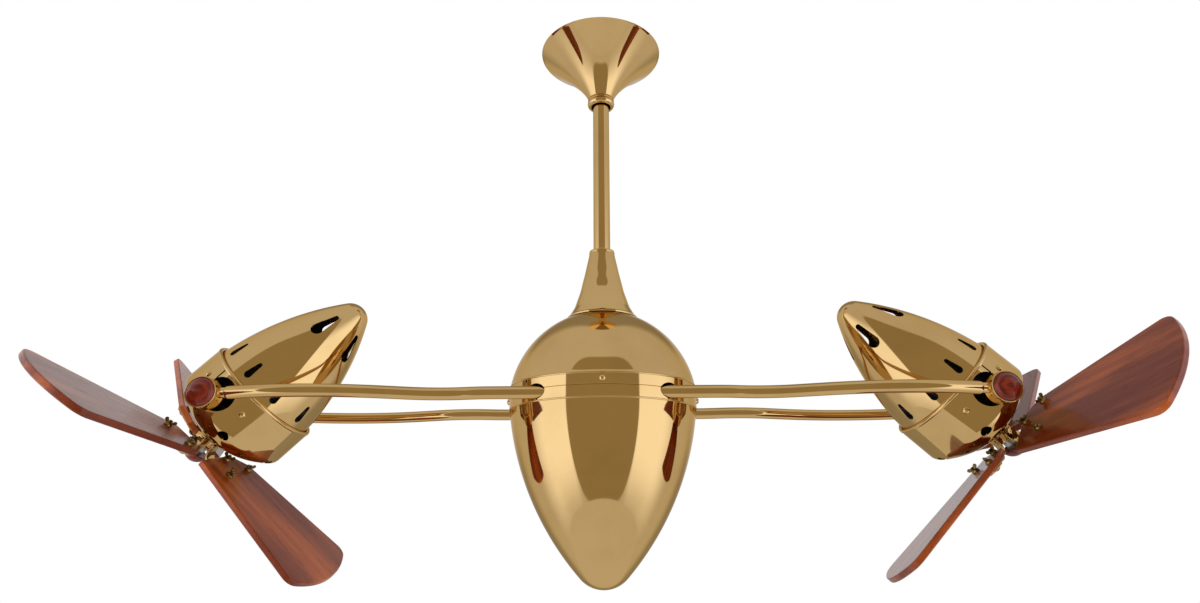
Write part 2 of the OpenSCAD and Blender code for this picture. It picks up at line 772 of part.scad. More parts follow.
function rear_line(inset) = egg_line([rear_r, -seam_s + 1], rear_arc, -rear_len, rear_tip_arc, inset);
function rear_skin_r(s) = egg_r([rear_r, -seam_s + 1], rear_arc, -rear_len, rear_tip_arc, s);

// teardrop slot through the skin
module teardrop(slot) {
    s0 = slot[0];
    r0 = slot[1];
    s1 = slot[2];
    r1 = slot[3];
    lean = asin((r0 - r1) / (s0 - s1));
    rotate([0, 90, 0]) translate([0, 0, slot_start]) linear_extrude(shell_r)
        polygon(concat(arc([-s0, 0], r0, 90 - lean, 270 + lean, 10), arc([-s1, 0], r1, lean - 90, 90 - lean, 6)));
}

module rear_dome() {
    turn = 360 / slot_count;
    color(brass) on_head_axis() difference() {
        rotate_extrude() polygon(concat(rear_line(0), reversed(rear_line(sheet))));
        for (i = [0:slot_count - 1]) rotate([0, 0, slot_first + i * turn]) teardrop(seam_slot);
        for (i = [0:slot_count / 2 - 1]) rotate([0, 0, slot_first + i * 2 * turn]) teardrop(tip_slot);
    }
}

module motor_frame() {
    flange_s = -32;
    flange_t = 2.5;
    flange_r = rear_skin_r(flange_s) - sheet - seat;
    color(iron_grey) {
        on_head_axis() difference() {
            union() {
                translate([0, 0, drum_low]) cylinder(r = drum_r, h = drum_top + plate_s - drum_low);
                cylinder(r = bearing_boss_r, h = front_bearing_s + bearing_w);
                translate([0, 0, flange_s]) cylinder(r = flange_r, h = flange_t);
                shell_screw_places() rotate([0, 90, 0])
                    cylinder(r = screw_boss_r, h = shell_r - sheet - seat);
            }
            translate([0, 0, drum_low - over]) cylinder(r = drum_in, h = drum_top - drum_low + over);
            translate([0, 0, front_bearing_s]) cylinder(r = bearing_r + fit, h = bearing_w + over);
            cylinder(r = shaft_r + 2, h = front_bearing_s + over);
            // windows that let air through the flange
            for (a = [0:45:315]) rotate([0, 0, a]) translate([(drum_r + flange_r) / 2 + 0.3, 0, flange_s - over])
                cylinder(r = 3.6, h = flange_t + 2 * over, $fn = 32);
            shell_screw_places() rotate([0, 90, 0])
                translate([0, 0, shell_r - shell_screw_len - over])
                    cylinder(r = screw_r, h = shell_screw_len, $fn = 24);
        }
        for (s = [-1, 1]) rotate([-90 * s, 0, 0]) {
            translate([0, 0, drum_r - 2]) cylinder(r = 10, h = cup_in - 0.3 - drum_r + 2);
            translate([0, 0, drum_r - 2]) cylinder(r = pin_r, h = pin_end - drum_r + 2);
        }
    }
}

module rear_bell() {
    color(iron_grey) on_head_axis() difference() {
        union() {
            translate([0, 0, drum_low - bell_t]) cylinder(r = drum_r, h = bell_t - fit);
            translate([0, 0, rear_bearing_s]) cylinder(r = bearing_boss_r, h = drum_low - rear_bearing_s - fit);
        }
        translate([0, 0, rear_bearing_s - over]) cylinder(r = bearing_r + fit, h = bearing_w + over);
        translate([0, 0, rear_bearing_s]) cylinder(r = shaft_r + 2, h = drum_low - rear_bearing_s);
        for (a = [0:60:300]) rotate([0, 0, a]) translate([32, 0, drum_low - bell_t - over])
            cylinder(r = 8, h = bell_t + 2 * over, $fn = 48);
    }
}

module stator() {
    teeth = 12;
    bore = core_r + air_gap;
    color(steel) on_head_axis() translate([0, 0, stator_low]) difference() {
        cylinder(r = drum_in - fit, h = stator_top - stator_low);
        translate([0, 0, -over]) cylinder(r = bore, h = stator_top - stator_low + 2 * over);
        for (i = [0:teeth - 1]) rotate([0, 0, i * 360 / teeth]) translate([bore - over, 0, -over]) {
            translate([0, -0.9, 0]) cube([6, 1.8, stator_top - stator_low + 2 * over]);
            translate([9, 0, 0]) cylinder(r = 4, h = stator_top - stator_low + 2 * over, $fn = 32);
        }
    }
}

module windings() {
    color(copper) on_head_axis() {
        for (s = [stator_low - coil_r - fit, stator_top + coil_r + fit]) translate([0, 0, s])
            rotate_extrude() translate([coil_mid, 0]) circle(r = coil_r, $fn = 48);
    }
}

module bearings() {
    color(steel) on_head_axis() for (s = [rear_bearing_s, front_bearing_s]) translate([0, 0, s])
        difference() {
            ring(bearing_r, shaft_r + fit, bearing_w - fit);
            for (z = [-over, bearing_w - fit - 1]) translate([0, 0, z])
                ring(bearing_r - 2.2, shaft_r + 2.2, 1 + over);
        }
}

module shell_screws() {
    color(brass) on_head_axis() shell_screw_places() rotate([0, 90, 0])
        translate([0, 0, shell_r + fit]) dome_screw(shell_screw_head_r, screw_head_h, screw_r - fit, shell_screw_len);
}

module shaft() {
    color(steel) on_head_axis() translate([0, 0, shaft_low])
        cylinder(r = shaft_r, h = shaft_top - shaft_low);
}

module rotor_core() {
    color(steel) on_head_axis() translate([0, 0, stator_low + core_margin])
        ring(core_r, shaft_r + fit, stator_top - stator_low - 2 * core_margin);
}

// the hub's three flats face the blades
module hub(phase) {
    color(brass) on_head_axis() rotate([0, 0, phase + 180]) difference() {
        intersection() {
            translate([0, 0, hub_low]) cylinder(r = hub_round, h = blade_s - hub_low + 2);
            linear_extrude(2 * blade_s) circle(r = hub_flat / cos(60), $fn = 3);
        }
        translate([0, 0, hub_low - over]) cylinder(r = shaft_r + fit, h = blade_s);
    }
}

// one blade's own frame: X runs out along the blade, Z is square to its rear face
module at_blade(phase, i)
    rotate([0, 0, phase + 120 * i]) translate([0, 0, blade_s]) rotate([blade_pitch, 0, 0]) children();

// outline of a blade: straight flared sides, rounded corners and a crowned tip
function blade_points() =
    let (root = [root_r, root_w / 2], shoulder = [blade_r - tip_crown, tip_w / 2],
         u = (shoulder - root) / norm(shoulder - root), out = [-u[1], u[0]],
         crown_r = (pow(tip_w / 2, 2) + pow(tip_crown, 2)) / (2 * tip_crown),
         q = [blade_r - crown_r, 0], w = root - tip_corner_r * out - q,
         t = -w * u + sqrt(pow(w * u, 2) - w * w + pow(crown_r - tip_corner_r, 2)),
         c = q + w + t * u, a_crown = atan2(c[1] - q[1], c[0] - q[0]),
         half = concat([root], arc(c, tip_corner_r, atan2(out[1], out[0]), a_crown, 8)))
    concat(half, arc(q, crown_r, a_crown, -a_crown, 20), [for (p = reversed(half)) if (p[0] > root_r) [p[0], -p[1]]],
           [[root_r + chamfer_root, -root[1] - chamfer_root * u[1] / u[0]], [root_r, chamfer_side - root[1]]]);

module blade(phase, i) {
    color(wood) on_head_axis() at_blade(phase, i) difference() {
        linear_extrude(blade_t) translate([0, blade_shift]) polygon(blade_points());
        for (p = nut_spots) translate([p[0], p[1], -over]) cylinder(r = bolt_r + fit, h = blade_t + 2 * over, $fn = 24);
    }
}

module blade_iron() {
    neck_low = hub_low + 1 - blade_s;
    bend_z = blade_t + fit - iron_bend_r;
    plate_x = hub_flat + fit + iron_t + iron_bend_r;
    difference() {
        union() {
            // flat plate behind the blade's root
            translate([0, 0, blade_t + fit]) linear_extrude(iron_t)
                polygon([[plate_x, -iron_w / 2], [plate_x, iron_w / 2], [iron_end - 10, 14], [iron_end - 2, 14],
                         [iron_end, 12], [iron_end, -36], [iron_end - 3, -39], [iron_end - 14, -39]]);
            // quarter bend and the neck that lies on the hub's flat
            translate([plate_x, iron_w / 2, bend_z]) rotate([90, 0, 0]) linear_extrude(iron_w)
                difference() {
                    intersection() {
                        circle(r = iron_bend_r + iron_t);
                        translate([-iron_bend_r - iron_t, 0]) square(iron_bend_r + iron_t);
                    }
                    circle(r = iron_bend_r);
                }
            translate([hub_flat + fit, -iron_w / 2, neck_low]) cube([iron_t, iron_w, bend_z - neck_low]);
        }
        for (p = nut_spots) translate([p[0], p[1], 0]) cylinder(r = bolt_r + fit, h = 2 * blade_t, $fn = 24);
    }
}

module blade_irons(phase) {
    color(brass) on_head_axis() for (i = [0:2]) difference() {
        at_blade(phase, i) blade_iron();
        // the neck is trimmed to the hub's flat
        rotate([0, 0, phase + 120 * i]) translate([hub_flat + fit - 20, -20, 0]) cube([20, 40, blade_s + 3]);
    }
}

module wing_nut() {
    cylinder(r1 = wing_base_r, r2 = wing_base_r - 1, h = wing_base_h, $fn = 32);
    for (s = [-1, 1]) rotate([90, 0, 0]) translate([0, 0, -wing_t / 2]) linear_extrude(wing_t)
        polygon([[s * 1.5, wing_base_h - 2.5], [s * wing_span / 2, wing_base_h + wing_rise],
                 [s * (wing_span / 2 - 3), wing_base_h + wing_rise + 1], [s * 1.5, wing_base_h]]);
}

module blade_fasteners(phase) {
    spin = [20, 75, 130];
    color(dark_brass) on_head_axis() for (i = [0:2]) at_blade(phase, i) for (k = [0:2])
        translate([nut_spots[k][0], nut_spots[k][1], 0]) {
            translate([0, 0, blade_t + iron_t + 2 * fit])
                dome_screw(bolt_head_r, bolt_head_h, bolt_r, blade_t + iron_t + bolt_tail);
            rotate([180, 0, spin[k]]) translate([0, 0, fit]) difference() {
                wing_nut();
                translate([0, 0, -over]) cylinder(r = bolt_r + fit, h = 4 * wing_base_h, $fn = 24);
            }
        }
}

module finial() {
    ball = (finial_r * finial_r + finial_h * finial_h) / (2 * finial_h);
    color(wood) on_head_axis() difference() {
        union() {
            translate([0, 0, finial_s]) cylinder(r = finial_r, h = 2);
            intersection() {
                translate([0, 0, finial_s + 2 + finial_h - ball]) sphere(r = ball);
                translate([0, 0, finial_s + 2]) cylinder(r = finial_r, h = finial_h + over);
            }
        }
        translate([0, 0, finial_s - over]) cylinder(r = shaft_r + fit, h = shaft_top + over + fit - finial_s);
    }
}

module left_front_shell() at_left_head() front_shell();
module left_rear_dome() at_left_head() rear_dome();
module left_motor_frame() at_left_head() motor_frame();
module left_rear_bell() at_left_head() rear_bell();
module left_stator() at_left_head() stator();
module left_windings() at_left_head() windings();
module left_bearings() at_left_head() bearings();
module left_shell_screws() at_left_head() shell_screws();
module left_shaft() at_left_head() shaft();
module left_rotor_core() at_left_head() rotor_core();
module left_hub() at_left_head() hub(left_phase);
module left_blade_irons() at_left_head() blade_irons(left_phase);
module left_blade_1() at_left_head() blade(left_phase, 0);
module left_blade_2() at_left_head() blade(left_phase, 1);
module left_blade_3() at_left_head() blade(left_phase, 2);
module left_blade_fasteners() at_left_head() blade_fasteners(left_phase);
module left_finial() at_left_head() finial();

module right_front_shell() at_right_head() front_shell();
module right_rear_dome() at_right_head() rear_dome();
module right_motor_frame() at_right_head() motor_frame();
module right_rear_bell() at_right_head() rear_bell();
module right_stator() at_right_head() stator();
module right_windings() at_right_head() windings();
module right_bearings() at_right_head() bearings();
module right_shell_screws() at_right_head() shell_screws();
module right_shaft() at_right_head() shaft();
module right_rotor_core() at_right_head() rotor_core();
module right_hub() at_right_head() hub(right_phase);
module right_blade_irons() at_right_head() blade_irons(right_phase);
module right_blade_1() at_right_head() blade(right_phase, 0);
module right_blade_2() at_right_head() blade(right_phase, 1);
module right_blade_3() at_right_head() blade(right_phase, 2);
module right_blade_fasteners() at_right_head() blade_fasteners(right_phase);
module right_finial() at_right_head() finial();

ceiling_bracket();
canopy();
canopy_collar();
hanger_ball();
rod_pins();
downrod();
spindle();
spindle_nut();
slip_ring();
neck_cone();
upper_dome();
lower_bowl();
arm_carrier();
arm_clamps();
swivel_bushes();
thrust_bearing();
brush_holder();
body_screws();
left_front_arm();
left_rear_arm();
right_front_arm();
right_rear_arm();
left_pivot_cups();
right_pivot_cups();
left_cabochons();
right_cabochons();
left_front_shell();
left_rear_dome();
left_motor_frame();
left_rear_bell();
left_stator();
left_windings();
left_bearings();
left_shell_screws();
left_shaft();
left_rotor_core();
left_hub();
left_blade_irons();
left_blade_1();
left_blade_2();
left_blade_3();
left_blade_fasteners();
left_finial();
right_front_shell();
right_rear_dome();
right_motor_frame();
right_rear_bell();
right_stator();
right_windings();
right_bearings();
right_shell_screws();
right_shaft();
right_rotor_core();
right_hub();
right_blade_irons();
right_blade_1();
right_blade_2();
right_blade_3();
right_blade_fasteners();
right_finial();
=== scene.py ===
"""Looks of the twin head ceiling fan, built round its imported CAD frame.

The spun brass shells, the bent tube arms, the lacquered wooden blades and their
fasteners are modelled here at the sizes of the frame. The blades sit a little off
their even places, as on the real fan. Inside the housings only the coil heads are
modelled: the other pieces stay as the frame has them and get a finish only.
"""
import logging
import math
from collections.abc import Callable, Iterable, Sequence
from dataclasses import dataclass, field
from enum import Enum
from typing import Any

import bmesh
import bpy
import numpy as np
from mathutils import Matrix, Vector


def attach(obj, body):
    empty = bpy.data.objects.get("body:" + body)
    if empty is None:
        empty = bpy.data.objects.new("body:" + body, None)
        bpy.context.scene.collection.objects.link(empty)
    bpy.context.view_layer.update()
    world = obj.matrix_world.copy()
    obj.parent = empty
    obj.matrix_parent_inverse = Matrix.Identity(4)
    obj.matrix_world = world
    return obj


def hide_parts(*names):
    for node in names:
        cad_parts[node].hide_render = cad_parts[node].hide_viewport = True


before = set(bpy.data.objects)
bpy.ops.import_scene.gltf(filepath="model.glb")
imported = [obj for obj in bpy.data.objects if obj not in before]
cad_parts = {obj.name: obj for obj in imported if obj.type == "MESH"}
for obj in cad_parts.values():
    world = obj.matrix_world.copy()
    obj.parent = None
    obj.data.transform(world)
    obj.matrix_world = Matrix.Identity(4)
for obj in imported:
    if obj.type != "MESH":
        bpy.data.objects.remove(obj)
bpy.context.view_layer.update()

LOG = logging.getLogger("ceiling_fan")

Point2 = tuple[float, float]
Point3 = tuple[float, float, float]
Point4 = tuple[float, float, float, float]
Colour = Point3
BMesh = bmesh.types.BMesh
Mesh = bpy.types.Mesh
Piece = bpy.types.Object
Node = bpy.types.Node
Socket = bpy.types.NodeSocket
Feed = Socket | float | tuple[float, ...]

MM = 0.001                  # outlines are in millimetres, objects in metres
GAP = 0.05                  # clearance between two pieces that touch, in millimetres
ON_AXIS = 1e-7              # a radius that counts as none, in millimetres
NIL = 1e-9                  # the least length to divide by
ROUND = 192                 # facets round a large spun piece
HALF_ROUND = 96             # facets round one of half that size
SMALL_ROUND = 64            # facets round a small turned piece
NUT_ROUND = 40              # facets round a nut or a bolt
TINY_ROUND = 24             # facets round a thin shank or peg
CREASE = math.radians(34)   # the least angle between two faces that stays a sharp edge
ROUNDED_FROM = math.radians(40)   # the least angle between two faces that is rounded
ALIKE = 0.75                # how far a face agrees with the outline's normal, at least
ON_SKIN = 4e-5              # how near to the outline a corner lies, at most, in metres
FAR_COST = 1e4              # what a metre away from the outline counts against a normal


class Side(Enum):
    """The two ends of the fan, with the sign of X that each lies at."""

    LEFT = -1
    RIGHT = 1

    @property
    def word(self) -> str:
        """The side's name as the frame spells it."""
        return self.name.lower()


class Depth(Enum):
    """Front and rear of the fan, with the sign of Y that each lies at."""

    FRONT = -1
    REAR = 1

    @property
    def word(self) -> str:
        """The depth's name as the frame spells it."""
        return self.name.lower()


# ------------------------------------------------------------------ outlines


def arc(centre: Point2, radius: float, start: float, stop: float, count: int) -> list[Point2]:
    """Points of an arc in a plane.

    Args:
        centre: the arc's centre.
        radius: its radius.
        start: the first angle, in degrees.
        stop: the last angle, in degrees.
        count: how many steps the arc takes.

    Returns:
        count + 1 points.
    """
    angles = [math.radians(start + (stop - start) * i / count) for i in range(count + 1)]
    return [(centre[0] + radius * math.cos(a), centre[1] + radius * math.sin(a)) for a in angles]


def meet(p: Point2, rp: float, q: Point2, rq: float) -> Point2:
    """Where two circles meet, on the left of the way from p to q.

    Args:
        p: centre of the first circle.
        rp: its radius.
        q: centre of the second circle.
        rq: its radius.

    Returns:
        The meeting point.
    """
    dx, dy = q[0] - p[0], q[1] - p[1]
    d = math.hypot(dx, dy)
    a = (rp * rp - rq * rq + d * d) / (2 * d)
    h = math.sqrt(rp * rp - a * a)
    return p[0] + (a * dx - h * dy) / d, p[1] + (a * dy + h * dx) / d


def bearing(c: Point2, p: Point2) -> float:
    """Angle of p seen from c, in degrees."""
    return math.degrees(math.atan2(p[1] - c[1], p[0] - c[0]))


@dataclass(frozen=True)
class EggEnd:
    """Half outline of an egg end: a long side arc that runs into a small tip arc.

    Attributes:
        mouth: radius and height where the side arc starts.
        side: radius of the side arc.
        tip_z: height of the tip.
        tip: radius of the tip arc.
    """

    mouth: Point2
    side: float
    tip_z: float
    tip: float

    def line(self, inset: float = 0.0) -> list[Point2]:
        """Points from the mouth to the tip, each lying inset within the skin.

        Args:
            inset: how far the points lie within the skin.

        Returns:
            Radius and height of each point.
        """
        q = (0.0, self.tip_z + self.tip)
        m = meet(q, self.side - self.tip, self.mouth, self.side)
        long_arc = arc(m, self.side - inset, bearing(m, self.mouth), bearing(m, q), 40)
        return long_arc + arc(q, self.tip - inset, bearing(m, q), -90, 16)[1:]


def smooth_line(points: Sequence[Point2], steps: int) -> list[Point2]:
    """A Catmull-Rom curve through points.

    Args:
        points: the points that the curve passes through.
        steps: how many steps it takes from one point to the next.

    Returns:
        The curve's points.
    """
    first = (2 * points[0][0] - points[1][0], 2 * points[0][1] - points[1][1])
    last = (2 * points[-1][0] - points[-2][0], 2 * points[-1][1] - points[-2][1])
    p = [first, *points, last]
    made = []
    for i in range(1, len(p) - 2):
        for k in range(steps):
            t = k / steps
            made.append(tuple(
                0.5 * (2 * p[i][j] + (p[i + 1][j] - p[i - 1][j]) * t
                       + (2 * p[i - 1][j] - 5 * p[i][j] + 4 * p[i + 1][j] - p[i + 2][j]) * t * t
                       + (3 * p[i][j] - p[i - 1][j] - 3 * p[i + 1][j] + p[i + 2][j]) * t ** 3)
                for j in (0, 1)))
    return [*made, tuple(points[-1])]


# ------------------------------------------------------------------ meshes


HERE = Matrix.Identity(4)   # the origin, as a placement
UP = Vector((0, 0, 1))


def new_object(name: str, mesh: Mesh) -> Piece:
    """Links a new object with that mesh to the scene."""
    made = bpy.data.objects.new(name, mesh)
    bpy.context.scene.collection.objects.link(made)
    return made


def crease(mesh: Mesh) -> None:
    """Smooths a mesh's faces, but for its sharp edges."""
    mesh.shade_smooth()
    mesh.set_sharp_from_angle(angle=CREASE)


def from_bmesh(name: str, bm: BMesh) -> Piece:
    """Turns a bmesh into an object with smooth faces and sharp creases.

    Args:
        name: the object's name.
        bm: the bmesh, in millimetres, which is freed.

    Returns:
        The new object.
    """
    bmesh.ops.recalc_face_normals(bm, faces=bm.faces)
    bmesh.ops.scale(bm, vec=(MM, MM, MM), verts=bm.verts)
    mesh = bpy.data.meshes.new(name)
    bm.to_mesh(mesh)
    bm.free()
    crease(mesh)
    return new_object(name, mesh)


def drum(radius: float, low: float, high: float) -> list[Point2]:
    """Outline of a solid drum."""
    return [(0, low), (radius, low), (radius, high), (0, high)]


def spin_into(bm: BMesh, outline: Sequence[Point2], facets: int, matrix: Matrix) -> None:
    """Adds a closed outline spun about Z to a bmesh.

    Args:
        bm: the bmesh that takes the faces.
        outline: radius and height of each point.
        facets: how many facets go round.
        matrix: where the spun form stands.
    """
    columns = []
    for i in range(facets):
        a = 2 * math.pi * i / facets
        columns.append([bm.verts.new(matrix @ Vector((r * math.cos(a), r * math.sin(a), z)))
                        for r, z in outline])
    for i in range(facets):
        here, there = columns[i], columns[(i + 1) % facets]
        for j in range(len(outline)):
            k = (j + 1) % len(outline)
            if outline[j][0] < ON_AXIS and outline[k][0] < ON_AXIS:
                continue
            bm.faces.new((here[j], there[j], there[k], here[k]))
    middle = [v for column in columns for v, p in zip(column, outline) if p[0] < ON_AXIS]
    bmesh.ops.remove_doubles(bm, verts=middle, dist=ON_AXIS)


def spun(name: str, outline: Sequence[Point2], facets: int = ROUND) -> Piece:
    """A closed outline spun about Z, as an object of its own.

    Args:
        name: the object's name.
        outline: radius and height of each point.
        facets: how many facets go round.

    Returns:
        The new object, at the origin.
    """
    bm = bmesh.new()
    spin_into(bm, outline, facets, HERE)
    return from_bmesh(name, bm)


def prism_into(bm: BMesh, outline: Sequence[Point2], low: float, high: float,
               matrix: Matrix) -> None:
    """Adds an outline drawn up along Z to a bmesh.

    Args:
        bm: the bmesh that takes the faces.
        outline: x and y of each corner.
        low: height of the lower face.
        high: height of the upper face.
        matrix: where the form stands.
    """
    base = [bm.verts.new(matrix @ Vector((x, y, low))) for x, y in outline]
    top = [bm.verts.new(matrix @ Vector((x, y, high))) for x, y in outline]
    bm.faces.new(list(reversed(base)))
    bm.faces.new(top)
    for i in range(len(base)):
        k = (i + 1) % len(base)
        bm.faces.new((base[i], base[k], top[k], top[i]))


def tube_into(bm: BMesh, path: Sequence[Vector], radii: Sequence[float], sides: int,
              up: Vector, ring: bool = False) -> None:
    """Adds a round tube along a path to a bmesh.

    Args:
        bm: the bmesh that takes the faces.
        path: the points that the tube's middle follows.
        radii: the tube's radius at each point.
        sides: how many facets go round it.
        up: a direction that the path never runs along.
        ring: whether the path's end joins its start.
    """
    count = len(path)
    rings = []
    for i, p in enumerate(path):
        ahead = path[(i + 1) % count] if ring or i + 1 < count else p
        behind = path[i - 1] if ring or i > 0 else p
        along = (ahead - behind).normalized()
        across = up.cross(along).normalized()
        lift = along.cross(across)
        rings.append([bm.verts.new(p + radii[i] * (across * math.cos(a) + lift * math.sin(a)))
                      for a in (2 * math.pi * k / sides for k in range(sides))])
    for i in range(count if ring else count - 1):
        here, there = rings[i], rings[(i + 1) % count]
        for k in range(sides):
            m = (k + 1) % sides
            bm.faces.new((here[k], here[m], there[m], there[k]))
    if not ring:
        bm.faces.new(list(reversed(rings[0])))
        bm.faces.new(rings[-1])


def bake_modifiers(made: Piece) -> None:
    """Applies an object's modifiers to its mesh.

    Args:
        made: the object.
    """
    graph = bpy.context.evaluated_depsgraph_get()
    mesh = bpy.data.meshes.new_from_object(made.evaluated_get(graph))
    made.modifiers.clear()
    made.data = mesh


def rounded(made: Piece, width: float, segments: int) -> Piece:
    """Rounds an object's sharp edges.

    Args:
        made: the object.
        width: how far the rounding reaches from each edge.
        segments: how many facets the rounding has.

    Returns:
        The same object.
    """
    bevel = made.modifiers.new("rounded", "BEVEL")
    bevel.width = width * MM
    bevel.segments = segments
    bevel.limit_method = "ANGLE"
    bevel.angle_limit = ROUNDED_FROM
    bevel.harden_normals = True
    bake_modifiers(made)
    return made


def unit(rows: np.ndarray) -> np.ndarray:
    """Rows scaled to a length of 1."""
    return rows / np.maximum(np.linalg.norm(rows, axis=1), NIL)[:, None]


def read(items: Any, name: str, width: int, kind: type) -> np.ndarray:
    """A property of each of a mesh's items, in rows.

    Args:
        items: the mesh's vertices, corners or faces.
        name: the property's name.
        width: how many numbers it has.
        kind: the numbers' type.

    Returns:
        A row for each item.
    """
    made = np.zeros(len(items) * width, kind)
    items.foreach_get(name, made)
    return made.reshape(-1, width)


def spun_normals(mesh: Mesh, outline: Sequence[Point2]) -> None:
    """Sets a mesh's corner normals from the outline that it was spun from.

    Corners on hole walls keep their own face's normal.

    Args:
        mesh: the mesh.
        outline: radius and height of each point of the closed outline.
    """
    line = np.array(outline, float) * MM
    step = np.roll(line, -1, 0) - line
    length = np.maximum(np.linalg.norm(step, axis=1), NIL)
    flat = np.stack([step[:, 1], -step[:, 0]], 1) / length[:, None]
    area = np.sum(line[:, 0] * np.roll(line[:, 1], -1) - np.roll(line[:, 0], -1) * line[:, 1])
    flat *= 1.0 if area > 0 else -1.0
    before = np.roll(flat, 1, 0)
    soft = np.sum(flat * before, 1) > math.cos(CREASE)
    joint = unit(flat + before)
    start = np.where(soft[:, None], joint, flat)
    stop = np.where(np.roll(soft, -1)[:, None], np.roll(joint, -1, 0), flat)

    corner = read(mesh.loops, "vertex_index", 1, int)[:, 0]
    totals = read(mesh.polygons, "loop_total", 1, int)[:, 0]
    own = np.repeat(read(mesh.polygons, "normal", 3, float), totals, axis=0)
    p = read(mesh.vertices, "co", 3, float)[corner]
    radius = np.hypot(p[:, 0], p[:, 1])
    flat_p = np.stack([radius, p[:, 2]], 1)
    result = own.copy()
    best = np.full(len(p), 2.0)
    facing = p[:, :2] / np.maximum(radius, NIL)[:, None]
    for i in range(len(line)):
        rel = flat_p - line[i]
        t = np.clip((rel @ step[i]) / length[i] ** 2, 0, 1)
        away = np.linalg.norm(rel - t[:, None] * step[i], axis=1)
        n2 = unit(start[i] * (1 - t[:, None]) + stop[i] * t[:, None])
        n3 = np.stack([n2[:, 0] * facing[:, 0], n2[:, 0] * facing[:, 1], n2[:, 1]], 1)
        agree = np.sum(n3 * own, 1)
        score = away * FAR_COST + (1 - agree)
        take = (away < ON_SKIN) & (agree > ALIKE) & (score < best)
        result[take] = n3[take]
        best[take] = score[take]
    mesh.normals_split_custom_set(result.tolist())


def pierced(name: str, outline: Sequence[Point2], *tools: BMesh) -> Piece:
    """A closed outline spun about Z and cut through, with the true normals of its skin.

    Args:
        name: the object's name.
        outline: radius and height of each point.
        *tools: sets of cutting solids, which are freed. No two solids of a set may meet.

    Returns:
        The new object, at the origin.
    """
    made = spun(name, outline)
    for solids in tools:
        tool = from_bmesh("cutting_tool", solids)
        boolean = made.modifiers.new("holes", "BOOLEAN")
        boolean.operation = "DIFFERENCE"
        boolean.solver = "EXACT"
        boolean.object = tool
        bake_modifiers(made)
        bpy.data.objects.remove(tool)
    spun_normals(made.data, outline)
    return made


# ------------------------------------------------------------------ shader graphs


def rgba(colour: Colour) -> Point4:
    """A colour as a node's socket takes it."""
    return (*colour, 1.0)


def grey(level: float) -> Point4:
    """A grey as a node's socket takes it."""
    return (level, level, level, 1.0)


class Graph:
    """A node tree with short calls for the nodes that the finishes use."""

    def __init__(self, tree: bpy.types.NodeTree) -> None:
        """Keeps the tree that nodes are added to."""
        self.tree = tree

    def feed(self, target: Socket, value: Feed) -> None:
        """Links a socket to the target, or sets the target's own value.

        Args:
            target: the input.
            value: a socket or a value.
        """
        if isinstance(value, bpy.types.NodeSocket):
            self.tree.links.new(value, target)
        else:
            target.default_value = value

    def give(self, node: Node, **values: Feed) -> Node:
        """Feeds a node's inputs, each named with underscores for spaces, and returns the node."""
        for name, value in values.items():
            self.feed(node.inputs[name.replace("_", " ")], value)
        return node

    def node(self, kind: str, inputs: dict[str | int, Feed] | None = None,
             **settings: Any) -> Node:
        """Adds a node.

        Args:
            kind: the node's type.
            inputs: what goes into each named or numbered input.
            **settings: the node's own settings.

        Returns:
            The new node.
        """
        made = self.tree.nodes.new(kind)
        for name, value in settings.items():
            setattr(made, name, value)
        for name, value in (inputs or {}).items():
            self.feed(made.inputs[name], value)
        return made

    def maths(self, operation: str, a: Feed, b: Feed = 0.0, clamp: bool = False) -> Socket:
        """One Math node's result."""
        made = self.node("ShaderNodeMath", {0: a, 1: b}, operation=operation, use_clamp=clamp)
        return made.outputs[0]

    def product(self, a: Feed, b: Feed) -> Socket:
        """a times b."""
        return self.maths("MULTIPLY", a, b)

    def blend(self, share: Feed, a: Feed, b: Feed) -> Socket:
        """A colour between a and b."""
        made = self.node("ShaderNodeMix", {0: share, 6: a, 7: b}, data_type="RGBA")
        return made.outputs[2]

    def ramp(self, value: Feed, low: float, high: float, out_low: float = 0.0,
             out_high: float = 1.0) -> Socket:
        """A value mapped smoothly from low..high to out_low..out_high."""
        made = self.node("ShaderNodeMapRange", {0: value, 1: low, 2: high, 3: out_low, 4: out_high},
                         interpolation_type="SMOOTHSTEP")
        return made.outputs[0]

    def place(self, scale: Point3, shift: Feed | None = None) -> Socket:
        """The object's own coordinates, scaled, and shifted where shift is given.

        Args:
            scale: the scale along each axis.
            shift: what is added to the coordinates first.

        Returns:
            The coordinates.
        """
        vector = self.node("ShaderNodeTexCoord").outputs["Object"]
        if shift is not None:
            moved = self.node("ShaderNodeVectorMath", {0: vector, 1: shift}, operation="ADD")
            vector = moved.outputs[0]
        return self.node("ShaderNodeMapping", {"Vector": vector, "Scale": scale}).outputs[0]

    def noise(self, vector: Socket, scale: Feed, detail: float, rough: float) -> Socket:
        """A noise texture's value."""
        made = self.node("ShaderNodeTexNoise",
                         {"Vector": vector, "Scale": scale, "Detail": detail, "Roughness": rough})
        return made.outputs[0]


